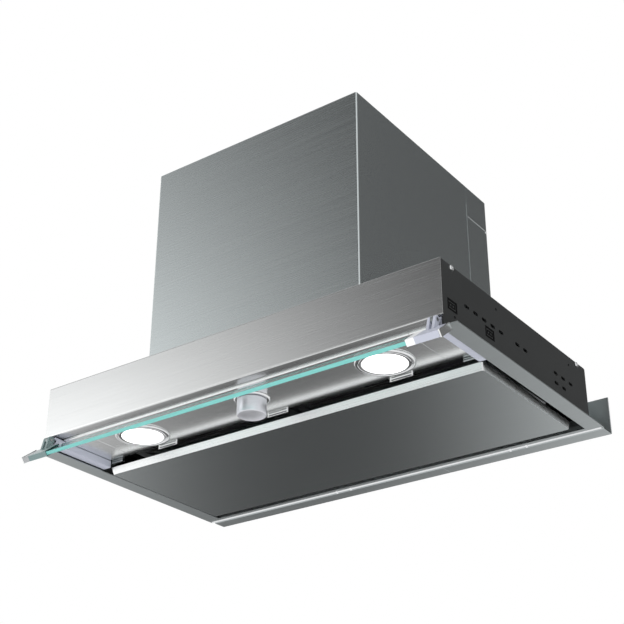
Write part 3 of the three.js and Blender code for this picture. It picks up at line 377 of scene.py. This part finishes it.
def area_light(name, place, size, power):
    """A soft lamp. Metal mirrors the studio's cards in its place."""
    data = bpy.data.lights.new(name, "AREA")
    data.shape = "DISK"
    data.size = size
    data.energy = power
    light = add_object(name, data)
    light.location = place
    light.rotation_euler = (Vector(MIDDLE) - Vector(place)).to_track_quat("-Z", "Y").to_euler()
    light.visible_glossy = False


def make_lights():
    area_light("key", (-1.6, -2.2, 1.4), size=1.4, power=24)
    area_light("fill", (1.8, -1.6, -0.2), size=1.6, power=8)
    area_light("under", (0.2, -0.8, -1.0), size=1.2, power=5)


# ---- Cards that stand round the object for metal to mirror, as in a studio ----

# The dark ones hide part of the white backdrop, and the soft box adds light. Places and sizes are
# in degrees, with the azimuth from the front to the right. A steeper card has a sharper rim.
DARK_CARDS = (
    {  # in front on the left, high
        "azimuth": -27, "elevation": 31, "half_width": 35, "half_height": 47,
        "light": 0.04, "steep": 4,
    },
    {  # behind on the right, high
        "azimuth": 153, "elevation": 36, "half_width": 38, "half_height": 40,
        "light": 0.105, "steep": 3,
    },
    {  # behind on the left, low
        "azimuth": -144, "elevation": -23, "half_width": 15, "half_height": 26,
        "light": 0.09, "steep": 3,
    },
)
SOFT_BOX = {  # in front on the left, nearly level
    "azimuth": -47, "elevation": 9, "half_width": 12, "half_height": 19,
    "light": 2.35, "steep": 2,
}
CARD_DISTANCE = 14.0
CARD_STEP = 2  # degrees between points
CARD_BOTTOM, CARD_TOP = -60, 80  # degrees of elevation


def card_cover(card, azimuth, elevation):
    """How much of a card is there in one direction, from 0 to 1."""
    across = (azimuth - card["azimuth"] + 180) % 360 - 180
    above = elevation - card["elevation"]
    reach = math.hypot(across / card["half_width"], above / card["half_height"])
    return math.exp(-(reach ** card["steep"]))


def card_mesh(name):
    """Part of a globe, whose points say how far the backdrop is hidden there and what glows."""
    azimuths = range(-180, 181, CARD_STEP)
    elevations = range(CARD_BOTTOM, CARD_TOP + 1, CARD_STEP)
    points, hidden, glow = [], [], []
    for elevation in elevations:
        for azimuth in azimuths:
            a, e = math.radians(azimuth), math.radians(elevation)
            toward = Vector((math.sin(a) * math.cos(e), -math.cos(a) * math.cos(e), math.sin(e)))
            points.append(CARD_DISTANCE * toward)
            clear, light = 1.0, 0.0
            for card in DARK_CARDS:
                cover = card_cover(card, azimuth, elevation)
                clear *= 1 - cover
                light += cover * card["light"]
            hidden.append(1 - clear)
            glow.append(light + SOFT_BOX["light"] * card_cover(SOFT_BOX, azimuth, elevation))
    row = len(azimuths)
    faces = [
        (k, k + 1, k + row + 1, k + row)
        for j in range(len(elevations) - 1)
        for k in range(j * row, j * row + row - 1)
    ]
    mesh = bpy.data.meshes.new(name)
    mesh.from_pydata(points, [], faces)
    for attribute, values in (("hidden", hidden), ("glow", glow)):
        mesh.attributes.new(attribute, "FLOAT", "POINT").data.foreach_set("value", values)
    return mesh


def card_material(name):
    """Lets the backdrop through where it isn't hidden, and glows."""
    tree, shader = new_material(name)
    tree.nodes.remove(shader)
    hidden = add_node(tree, "ShaderNodeAttribute", attribute_name="hidden").outputs["Fac"]
    glow = add_node(tree, "ShaderNodeAttribute", attribute_name="glow").outputs["Fac"]
    through = math_node(tree, "SUBTRACT", 1.0, hidden)
    clear = add_node(tree, "ShaderNodeBsdfTransparent", {"Color": through})
    lit = add_node(tree, "ShaderNodeEmission", {"Color": WHITE, "Strength": glow})
    both = add_node(tree, "ShaderNodeAddShader", {0: clear.outputs[0], 1: lit.outputs[0]})
    feed(tree, tree.nodes["Material Output"], {"Surface": both.outputs[0]})


def make_cards():
    card_material("cards")
    cards = add_object("cards", card_mesh("cards"))
    cards.location = MIDDLE
    for kind in ("camera", "diffuse", "transmission", "volume_scatter", "shadow"):
        setattr(cards, "visible_" + kind, False)
    paint(cards.data, "cards")


# ---- Floor ----

FLOOR_LEVEL = -1.15
FLOOR_REACH = 6.0
FLOOR_FADE = (1.0, 4.0)  # it turns white between these distances from its middle


def floor_material(name):
    """Pale, and as white as the backdrop away from the object."""
    tree, shader = new_material(name)
    feed(tree, shader, {"Base Color": (0.86, 0.86, 0.86, 1), "Roughness": 0.9})
    place = add_node(tree, "ShaderNodeTexCoord").outputs["Object"]
    distance = add_node(tree, "ShaderNodeVectorMath", {0: place}, operation="LENGTH")
    fade = spread(tree, distance.outputs["Value"], span=FLOOR_FADE)
    white = add_node(tree, "ShaderNodeEmission", {"Color": WHITE})
    mix = add_node(
        tree, "ShaderNodeMixShader", {0: fade, 1: shader.outputs[0], 2: white.outputs[0]}
    )
    feed(tree, tree.nodes["Material Output"], {"Surface": mix.outputs[0]})


def make_floor():
    floor_material("floor")
    mesh = bpy.data.meshes.new("floor")
    r = FLOOR_REACH
    mesh.from_pydata([(-r, -r, 0), (r, -r, 0), (r, r, 0), (-r, r, 0)], [], [(0, 1, 2, 3)])
    floor = add_object("floor", mesh)
    floor.location.z = FLOOR_LEVEL
    floor.visible_glossy = False
    paint(mesh, "floor")


# ---- Pieces ----

SHARP_ANGLE = math.radians(50)  # edges sharper than this are rounded
CREASE_ANGLE = math.radians(35)  # edges of a turned piece sharper than this stay creases
FLAT_ANGLE = math.radians(0.5)  # faces that meet flatter than this become one
MERGE_DISTANCE = 1e-6  # metres
TURNS = 96  # points round a turned piece

replaced = set()  # the CAD nodes that pieces stand for


def corners(node):
    """The lowest and the highest corner of a node, in millimetres."""
    low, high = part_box(node)
    return low / MM, high / MM


def stand_for(piece, node):
    """The piece rides where its CAD node does and takes its place."""
    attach(piece, BODY_OF[node])
    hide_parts(node)
    replaced.add(node)


def rounded(piece, width):
    edge = piece.modifiers.new("edge", "BEVEL")
    edge.width = width * MM
    edge.segments = 2
    edge.limit_method = "ANGLE"
    edge.angle_limit = SHARP_ANGLE
    flat = piece.modifiers.new("flat", "WEIGHTED_NORMAL")
    flat.keep_sharp = True


def soften(node, name, width, *materials, pick=None, shape=None):
    """A copy of a CAD node with its edges rounded by width, which stands for the node.

    pick(face) gives the number of a face's material, and shape(mesh) changes the copy's form.
    """
    mesh = NODES[node].data.copy()
    mesh.name = name
    paint(mesh, *materials)
    work = bmesh.new()
    work.from_mesh(mesh)
    bmesh.ops.remove_doubles(work, verts=work.verts, dist=MERGE_DISTANCE)
    bmesh.ops.dissolve_limit(
        work, angle_limit=FLAT_ANGLE, verts=work.verts, edges=work.edges, delimit={"NORMAL"}
    )
    if shape:
        shape(work)
    work.normal_update()
    for face in work.faces:
        face.smooth = True
        face.material_index = pick(face) if pick else 0
    work.to_mesh(mesh)
    work.free()
    mesh.set_sharp_from_angle(angle=SHARP_ANGLE)
    piece = add_object(name, mesh)
    rounded(piece, width)
    stand_for(piece, node)


def piece_from(name, verts, faces, material, smooth=False):
    """A closed piece from points in millimetres."""
    mesh = bpy.data.meshes.new(name)
    mesh.from_pydata([[c * MM for c in vert] for vert in verts], [], faces)
    work = bmesh.new()
    work.from_mesh(mesh)
    bmesh.ops.recalc_face_normals(work, faces=work.faces)
    for face in work.faces:
        face.smooth = smooth
    work.to_mesh(mesh)
    work.free()
    if smooth:
        mesh.set_sharp_from_angle(angle=CREASE_ANGLE)
    paint(mesh, material)
    return add_object(name, mesh)


def turned(name, profile, x, y, material):
    """A ring or disc turned round a vertical axis, from pairs of radius and height."""
    verts, rows = [], []
    for radius, height in profile:
        if radius == 0:
            rows.append([len(verts)] * TURNS)
            verts.append((x, y, height))
            continue
        rows.append([len(verts) + k for k in range(TURNS)])
        for k in range(TURNS):
            a = 2 * math.pi * k / TURNS
            verts.append((x + radius * math.cos(a), y + radius * math.sin(a), height))
    faces = []
    ends_meet = profile[0][0] > 0
    for j in range(len(rows) if ends_meet else len(rows) - 1):
        low, high = rows[j], rows[(j + 1) % len(rows)]
        for k in range(TURNS):
            n = (k + 1) % TURNS
            face = tuple(dict.fromkeys((low[k], low[n], high[n], high[k])))
            if len(face) > 2:
                faces.append(face)
    return piece_from(name, verts, faces, material, smooth=True)


def slab(name, x_range, y_range, z_range, material, edge):
    """A thin plate on the body, with its edges rounded by edge."""
    verts = [(x, y, z) for z in z_range for y in y_range for x in x_range]
    faces = [(0, 2, 3, 1), (4, 5, 7, 6), (0, 1, 5, 4), (2, 6, 7, 3), (0, 4, 6, 2), (1, 3, 7, 5)]
    piece = piece_from(name, verts, faces, material)
    rounded(piece, edge)
    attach(piece, "root")


def mirrored(side, inner, outer):
    """The range of X from inner to outer on one side."""
    return sorted((side * inner, side * outer))


# ---- Suction panel: its walls spread towards the top, and are painted a brighter steel than its floor as a highlight ----

LIP_LEAN = math.tan(math.radians(20))
SIDE_LEAN = math.tan(math.radians(12))
WALL_DEPTH = 3.0  # how far behind a wall's face its sheet and its fold reach
WALL_SHARE = 0.72  # of the height of the CAD walls
WALL_TOP = 12.5  # above the panel's underside; only the hinge ears reach higher
FLOOR_FACING = 0.75  # a face that looks up or down more than this belongs to the floor


def lean_walls(work):
    """The front wall and the side walls spread a little towards their upper edge."""
    low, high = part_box("suction_panel")
    for vert in work.verts:
        rise = (vert.co.z - low.z) * WALL_SHARE
        if vert.co.z < low.z + WALL_TOP * MM:
            vert.co.z = low.z + rise
        if vert.co.y < low.y + WALL_DEPTH * MM:
            vert.co.y -= rise * LIP_LEAN
        if abs(vert.co.x) > high.x - WALL_DEPTH * MM:
            vert.co.x += math.copysign(rise * SIDE_LEAN, vert.co.x)


# the walls take the brighter steel, a painted highlight, and the floor the panel's own steel
def wall_or_floor(face):
    return 0 if abs(face.normal.z) > FLOOR_FACING else 1


def soften_suction_panel():
    soften(
        "suction_panel", "suction_pan", 0.5, "panel_steel", "lip_steel",
        pick=wall_or_floor, shape=lean_walls,
    )


# ---- Light panel: the loops that hang from it are low ----

LOOP_SHARE = 0.45  # of the height of the CAD loops
UNDERSIDE = corners("light_panel_end_right")[0].z  # of the panel's three lengths


def shorten_loops(work):
    under = UNDERSIDE * MM
    for vert in work.verts:
        if vert.co.z < under:
            vert.co.z = under + (vert.co.z - under) * LOOP_SHARE


def soften_light_panel():
    soften("light_panel", "light_sheet", 0.2, "bright_steel", shape=shorten_loops)
    for _, word in SIDES:
        soften("light_panel_end_" + word, "light_sheet_end_" + word, 0.2, "bright_steel")


# ---- Visor: clear faces, a sea green edge, and brackets of two colours; the left one's darker grip is painted shade ----

VISOR_TILT = math.radians(38)  # the glass hangs this far below the horizontal at rest
GLASS_FACE = Vector((0, -math.sin(VISOR_TILT), math.cos(VISOR_TILT)))
GLASS_FACING = 0.9  # a face that looks along GLASS_FACE more than this is clear
GLASS_SHARE = 0.72  # of the thickness of the CAD glass
GLASS_END = 262 * MM  # the glass ends here, inside the brackets
CAP_FROM = 281 * MM  # the left bracket's pale end starts here
BAR_FACES = (4.0 * MM, 4.5 * MM)  # the CAD bar's faces lie between these, from its middle
RIGHT_BAR, LEFT_BAR = 3.7 * MM, 3.35 * MM  # half the thickness of the bar
SLEEVE_HALF = 5 * MM  # the sleeve round the glass reaches no farther from its middle


def face_or_edge(face):
    return 0 if abs(face.normal.dot(GLASS_FACE)) > GLASS_FACING else 1


def height_on_glass(point):
    """How far a point lies from the middle plane of the glass."""
    low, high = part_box("visor_glass")
    return (point - (low + high) / 2).dot(GLASS_FACE)


def thin_glass(work):
    for vert in work.verts:
        vert.co -= GLASS_FACE * height_on_glass(vert.co) * (1 - GLASS_SHARE)


def thin_bar(half, cut_at):
    """A shape for a bracket: its bar is thinner, with an edge loop where its colour changes."""
    nearest, farthest = BAR_FACES

    def shape(work):
        for vert in work.verts:
            height = height_on_glass(vert.co)
            if nearest < abs(height) < farthest:
                vert.co -= GLASS_FACE * math.copysign(abs(height) - half, height)
        for side in (-1, 1):
            bmesh.ops.bisect_plane(
                work,
                geom=work.verts[:] + work.edges[:] + work.faces[:],
                plane_co=(side * cut_at, 0, 0),
                plane_no=(1, 0, 0),
            )

    return shape


def sleeve_or_grip(face):
    middle = face.calc_center_median()
    on_sleeve = abs(middle.x) < GLASS_END and abs(height_on_glass(middle)) < SLEEVE_HALF
    return 1 if on_sleeve else 0


def grip_or_cap(face):
    return 1 if abs(face.calc_center_median().x) > CAP_FROM else 0


def soften_visor():
    soften(
        "visor_glass", "visor_pane", 0.3, "visor_glass", "glass_edge",
        pick=face_or_edge, shape=thin_glass,
    )
    soften(
        "visor_bracket_right", "visor_grip_right", 0.3, "grey_plastic", "white_plastic",
        pick=sleeve_or_grip, shape=thin_bar(RIGHT_BAR, GLASS_END),
    )
    soften(
        # its grip is painted darker than the right bracket's, as shade
        "visor_bracket_left", "visor_grip_left", 0.3, "shaded_grip_plastic", "cap_plastic",
        pick=grip_or_cap, shape=thin_bar(LEFT_BAR, CAP_FROM),
    )


# ---- Nodes that only get rounded edges ----


def soften_body():
    soften("fascia", "fascia_sheet", 0.6, "fascia_steel")
    soften("bottom_frame", "frame_plate", 0.12, "frame_steel")
    soften("rear_spacer_left", "spacer_sheet_left", 0.3, "frame_steel")
    soften("rear_spacer_right", "spacer_sheet_right", 0.3, "frame_steel")
    for _, word in SIDES:
        soften("side_plate_" + word, "side_sheet_" + word, 0.25, "black_paint")


def soften_motor_box():
    soften("motor_box_front", "motor_wrap_front", 0.35, "box_steel")
    soften("motor_box_rear", "motor_wrap_rear", 0.3, "box_steel")
    soften("motor_box_lid", "motor_lid", 0.3, "box_steel")


def soften_fittings():
    """The electrics and the outlet on top, and the guides that the visor slides in."""
    soften("control_box", "control_case", 1.2, "black_plastic")
    soften("control_box_lid", "control_lid", 1.0, "black_plastic")
    soften("cable_gland", "gland_nut", 0.4, "grey_plastic")
    soften("capacitor", "capacitor_can", 0.8, "aluminium")
    soften("outlet_collar", "outlet_ring", 0.5, "black_plastic")
    for _, word in SIDES:
        soften("visor_guide_" + word, "visor_channel_" + word, 0.3, "grey_plastic")


# ---- Lamps and knob: turned more finely than their CAD nodes ----

BEZEL_FLANGE = 1.8  # thickness of the bezel's flange
KNOB_SOCKET = 6  # depth of the recess in the knob's upper side, round its spindle


def place_of(node):
    """Where a round node's axis is, and its lower and its upper end."""
    low, high = corners(node)
    return (low.x + high.x) / 2, (low.y + high.y) / 2, low.z, high.z


def make_lamps():
    for _, word in SIDES:
        x, y, bottom, top = place_of("lamp_bezel_" + word)
        flange = bottom + BEZEL_FLANGE
        profile = [
            (25.2, bottom + 0.15), (25.5, bottom), (28.0, bottom), (28.5, bottom + 0.45),
            (29.1, bottom + 0.45), (29.6, bottom), (31.9, bottom), (32.6, bottom + 0.25),
            (33.2, bottom + 1.0), (33.2, flange), (29.8, flange), (29.8, top),
            (27.8, top), (27.8, bottom + 0.6), (25.2, bottom + 0.6),
        ]
        stand_for(turned("lamp_ring_" + word, profile, x, y, "chrome"), "lamp_bezel_" + word)
        _, _, low, high = place_of("lamp_lens_" + word)
        profile = [
            (0, low), (24.6, low), (27.2, low + 0.25), (27.5, low + 0.6), (27.5, high), (0, high),
        ]
        stand_for(turned("lamp_disc_" + word, profile, x, y, "lamp_lens"), "lamp_lens_" + word)


def make_knob():
    x, y, low, high = place_of("control_knob")
    socket = high - KNOB_SOCKET
    profile = [
        (0, low + 0.25), (14.6, low + 0.25), (15.2, low), (15.9, low), (16.6, low + 0.4),
        (17.0, low + 1.1), (17.0, high - 0.5), (16.6, high), (3.2, high), (3.2, socket),
        (0, socket),
    ]
    stand_for(turned("knob_grip", profile, x, y, "knob_metal"), "control_knob")
    _, _, low, high = place_of("knob_ring")
    profile = [
        (3.6, low), (18.6, low), (19.5, low), (20.3, low + 0.5), (21.0, high - 0.3),
        (21.0, high), (3.6, high),
    ]
    stand_for(turned("knob_seat", profile, x, y, "chrome"), "knob_ring")


# ---- Screws ----

SCREW_RINGS = 12
SCREW_TURNS = 48
SCREW_DOME = 0.92  # 1 would bring the dome's rim down to the sheet
SCREW_SUNK = 0.2  # how deep the head's base lies in the sheet
RECESS_WIDTH = 0.11  # half the width of the cross's slots, as a share of the head's radius
RECESS_REACH = 0.58  # and how far they reach from its middle
RECESS_DEPTH = 0.45  # as a share of the head's rise
TOP_SCREW = {"radius": 3.0, "rise": 1.3}
RIVET = {"radius": 1.4, "rise": 0.6}
LID_INSET = 7.0  # of the control box's screws, from the edges of its lid
FLANGE_HEIGHT = 3.0  # of the outlet's flange, over the collar's lower end
FLANGE_RING = 67.0  # radius of the circle of its screws


def make_screw(name, place, facing, radius=3.5, rise=1.6):
    """A domed head with a cross recess, on a face that looks along facing."""
    place, facing = Vector(place), Vector(facing)
    across = facing.orthogonal().normalized()
    along = facing.cross(across)
    half, reach, depth = radius * RECESS_WIDTH, radius * RECESS_REACH, rise * RECESS_DEPTH

    def point(u, v, height):
        return tuple(place + across * u + along * v + facing * height)

    verts, faces = [point(0, 0, rise - depth)], []
    for j in range(1, SCREW_RINGS + 1):
        r = radius * j / SCREW_RINGS
        dome = rise * math.sqrt(1 - (r / radius) ** 2 * SCREW_DOME)
        for k in range(SCREW_TURNS):
            a = 2 * math.pi * k / SCREW_TURNS
            u, v = r * math.cos(a), r * math.sin(a)
            cut = depth if min(abs(u), abs(v)) < half and r < reach else 0.0
            verts.append(point(u, v, dome - cut))
    base = len(verts)
    rim = base - SCREW_TURNS
    for k in range(SCREW_TURNS):
        a = 2 * math.pi * k / SCREW_TURNS
        verts.append(point(radius * math.cos(a), radius * math.sin(a), -SCREW_SUNK))
        n = (k + 1) % SCREW_TURNS
        faces.append((0, 1 + k, 1 + n))
        for row in range(1, rim, SCREW_TURNS):
            faces.append((row + k, row + SCREW_TURNS + k, row + SCREW_TURNS + n, row + n))
        faces.append((rim + k, base + k, base + n, rim + n))
    faces.append(tuple(base + k for k in range(SCREW_TURNS)))
    screw = piece_from(name, verts, faces, "chrome", smooth=True)
    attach(screw, "root")


def make_top_screws():
    """Screws of the control box's lid and of the outlet's flange."""
    low, high = corners("control_box_lid")
    places = [
        (x, y, high.z)
        for x in (low.x + LID_INSET, high.x - LID_INSET)
        for y in (low.y + LID_INSET, high.y - LID_INSET)
    ]
    for k, place in enumerate(places):
        make_screw("lid_screw_%d" % (k + 1), place, (0, 0, 1), **TOP_SCREW)
    x, y, bottom, _ = place_of("outlet_collar")
    for k in range(4):
        a = math.pi / 4 + k * math.pi / 2
        place = (x + FLANGE_RING * math.cos(a), y + FLANGE_RING * math.sin(a), bottom + FLANGE_HEIGHT)
        make_screw("outlet_screw_%d" % (k + 1), place, (0, 0, 1), **TOP_SCREW)


# ---- Side plates: screws, and an edge and a rim of dark rings in each clip's window ----

SIDE_FACE = corners("fascia")[1].x  # the plates' outer faces, flush with the fascia's ends
SIDE_SCREWS = ((-339, 51.5), (-51, 51.5))  # Y and Z
RING_SUNK, RING_RISE = 0.4, 0.25  # of a ring, under and over that face
CLIP_RINGS = (("edge_", -4.4, 1.9), ("rim_", -7.2, 0.9))  # name, growth past the clip, width


def make_side_screws(side, word):
    for k, (y, z) in enumerate(SIDE_SCREWS):
        make_screw("side_screw_%s_%d" % (word, k + 1), (side * SIDE_FACE, y, z), (side, 0, 0))


def square_ring(name, side, window, grow, width):
    """A flat black ring round a window of the side plate, grown or shrunk by grow."""
    y0, y1, z0, z1 = window
    verts = []
    for x in (side * (SIDE_FACE - RING_SUNK), side * (SIDE_FACE + RING_RISE)):
        for out in (grow + width, grow):
            verts += [
                (x, y0 - out, z0 - out), (x, y1 + out, z0 - out),
                (x, y1 + out, z1 + out), (x, y0 - out, z1 + out),
            ]
    faces = []
    for k in range(4):
        n = (k + 1) % 4
        for a, b in ((0, 4), (4, 12), (12, 8), (8, 0)):
            faces.append((a + k, a + n, b + n, b + k))
    ring = piece_from(name, verts, faces, "dark_tray")
    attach(ring, "root")


def make_clip_rings(side, word):
    for clip in ("front_clip_", "rear_clip_"):
        low, high = corners(clip + word)
        for ring, grow, width in CLIP_RINGS:
            square_ring(clip + ring + word, side, (low.y, high.y, low.z, high.z), grow, width)


# ---- Motor box: the upright joint near its rear, and the short one under its lid ----

STRIP = 0.3  # how far a joint's strip stands out from the sheets
UPRIGHT_JOINT = (1.0, 0.1)  # its edges, in front of the end of the front wrap
UPRIGHT_INSETS = (0.5, 0.3)  # from the lower and the upper end of the rear wrap
SHORT_JOINT = (20.0, 19.3)  # its edges, under the top of the rear wrap
SHORT_INSETS = (2.2, 3.5)  # from the front and the back of the rear wrap
RIVET_PLACE = (4.0, 21.7)  # in front of the rear wrap's back, and under its top


def make_box_joints(side, word):
    low, high = corners("motor_box_rear")
    seam = corners("motor_box_front")[1].y
    out = mirrored(side, high.x, high.x + STRIP)
    across = [seam - edge for edge in UPRIGHT_JOINT]
    along = (low.z + UPRIGHT_INSETS[0], high.z - UPRIGHT_INSETS[1])
    slab("box_joint_" + word, out, across, along, "frame_steel", 0.1)
    across = [high.z - edge for edge in SHORT_JOINT]
    along = (low.y + SHORT_INSETS[0], high.y - SHORT_INSETS[1])
    slab("lid_joint_" + word, out, along, across, "lip_steel", 0.1)
    ahead, under = RIVET_PLACE
    place = (side * high.x, high.y - ahead, high.z - under)
    make_screw("box_rivet_" + word, place, (side, 0, 0), **RIVET)


# ---- Visor's guides: a cover on the inner face of each ----

COVER_THICKNESS, COVER_HEIGHT = 0.9, 8.4
COVER_GAP = 0.1  # to the guide
COVER_INSETS = (1.0, 0.4, 0.2)  # from the front, the back and the underside of the guide


def make_guide_cover(side, word):
    low, high = corners("visor_guide_right")
    front, back, under = COVER_INSETS
    face = low.x - COVER_GAP
    level = low.z + under
    slab(
        "guide_cover_" + word,
        mirrored(side, face - COVER_THICKNESS, face),
        (low.y + front, high.y - back),
        (level, level + COVER_HEIGHT),
        "grey_plastic", 0.3,
    )


# ---- Light panel: a strip under each joint between its lengths ----

LIGHT_LAPS = (0.3, 0.2)  # over the middle length and over the end length
LIGHT_INSETS = (1.0, 0.6)  # from the front and the rear edge of the panel


def make_light_joint(side, word):
    low, high = corners("light_panel")
    end = corners("light_panel_end_right")[0].x
    slab(
        "light_joint_" + word,
        mirrored(side, high.x - LIGHT_LAPS[0], end + LIGHT_LAPS[1]),
        (low.y + LIGHT_INSETS[0], high.y - LIGHT_INSETS[1]),
        (UNDERSIDE - STRIP, UNDERSIDE),
        "chrome", 0.1,
    )


# ---- Gap in front of the suction panel: ribs at its two ends ----

RIB_LEVELS = (-15.6, -13.0, -10.4)  # of their undersides
RIB_HEIGHT, RIB_LENGTH = 1.9, 18.5
RIB_GAP = 0.5  # to the side plate
RIB_DEPTH = (0.4, 4.2)  # from and to, behind the light panel


def make_gap_ribs(side, word):
    end = corners("side_plate_right")[0].x - RIB_GAP
    edge = corners("light_panel")[1].y
    for k, level in enumerate(RIB_LEVELS):
        slab(
            "gap_rib_%s_%d" % (word, k + 1),
            mirrored(side, end - RIB_LENGTH, end),
            [edge + depth for depth in RIB_DEPTH],
            (level, level + RIB_HEIGHT),
            "frame_steel", 0.3,
        )


# ---- Bottom frame: the hem along its rear edge, and two pairs of tabs, whose brighter chrome paints a highlight ----

FOLD_LAP = 0.3  # how far a fold reaches up into the plate
FOLD_SLANT = 0.75  # how far its rear edge hangs down, as a share of its size
HEM_SIZE, TAB_SIZE = 1.6, 3.0
HEM_PLACE, TAB_PLACE = 3.0, 2.6  # in front of the frame's rear edge
HEM_INSET = 2.5  # from the frame's ends
TAB_PAIRS = (-70, 187)  # X of their middles
TAB_APART, TAB_WIDTH = 22, 3  # from middle to middle, and along X


def fold(name, x_range, y, z, size):
    """A small fold along X whose slanted face looks down and to the front."""
    top = z + FOLD_LAP
    section = ((y, top), (y - size, top), (y - size, z), (y, z - size * FOLD_SLANT))
    verts = [(x, *point) for x in x_range for point in section]
    count = len(section)
    faces = [(k, (k + 1) % count, count + (k + 1) % count, count + k) for k in range(count)]
    faces += [tuple(range(count)), tuple(range(count, 2 * count))]
    # the fold is the frame's own steel, drawn in the brighter chrome: its slanted face catches real
    # reflections, and the chrome's pale colour paints a highlight line
    piece = piece_from(name, verts, faces, "chrome")
    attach(piece, "root")


def make_frame_folds():
    low, high = corners("bottom_frame")
    ends = (low.x + HEM_INSET, high.x - HEM_INSET)
    fold("frame_hem", ends, high.y - HEM_PLACE, low.z, HEM_SIZE)
    middles = [pair + half for pair in TAB_PAIRS for half in (-TAB_APART / 2, TAB_APART / 2)]
    for k, x in enumerate(middles):
        ends = (x - TAB_WIDTH / 2, x + TAB_WIDTH / 2)
        fold("frame_tab_%d" % (k + 1), ends, high.y - TAB_PLACE, low.z, TAB_SIZE)


def paint_nodes():
    """The CAD nodes that nothing stands for take the look of their slot."""
    for node, obj in NODES.items():
        if node not in replaced:
            paint(obj.data, SLOT_OF[node])


make_camera()
make_materials()
make_world()
make_lights()
make_cards()
make_floor()
soften_body()
soften_light_panel()
soften_suction_panel()
soften_motor_box()
soften_visor()
soften_fittings()
make_lamps()
make_knob()
for side, word in SIDES:
    make_side_screws(side, word)
    make_guide_cover(side, word)
    make_box_joints(side, word)
    make_clip_rings(side, word)
    make_light_joint(side, word)
    make_gap_ribs(side, word)
make_frame_folds()
make_top_screws()
paint_nodes()

scene.view_settings.view_transform = "Standard"
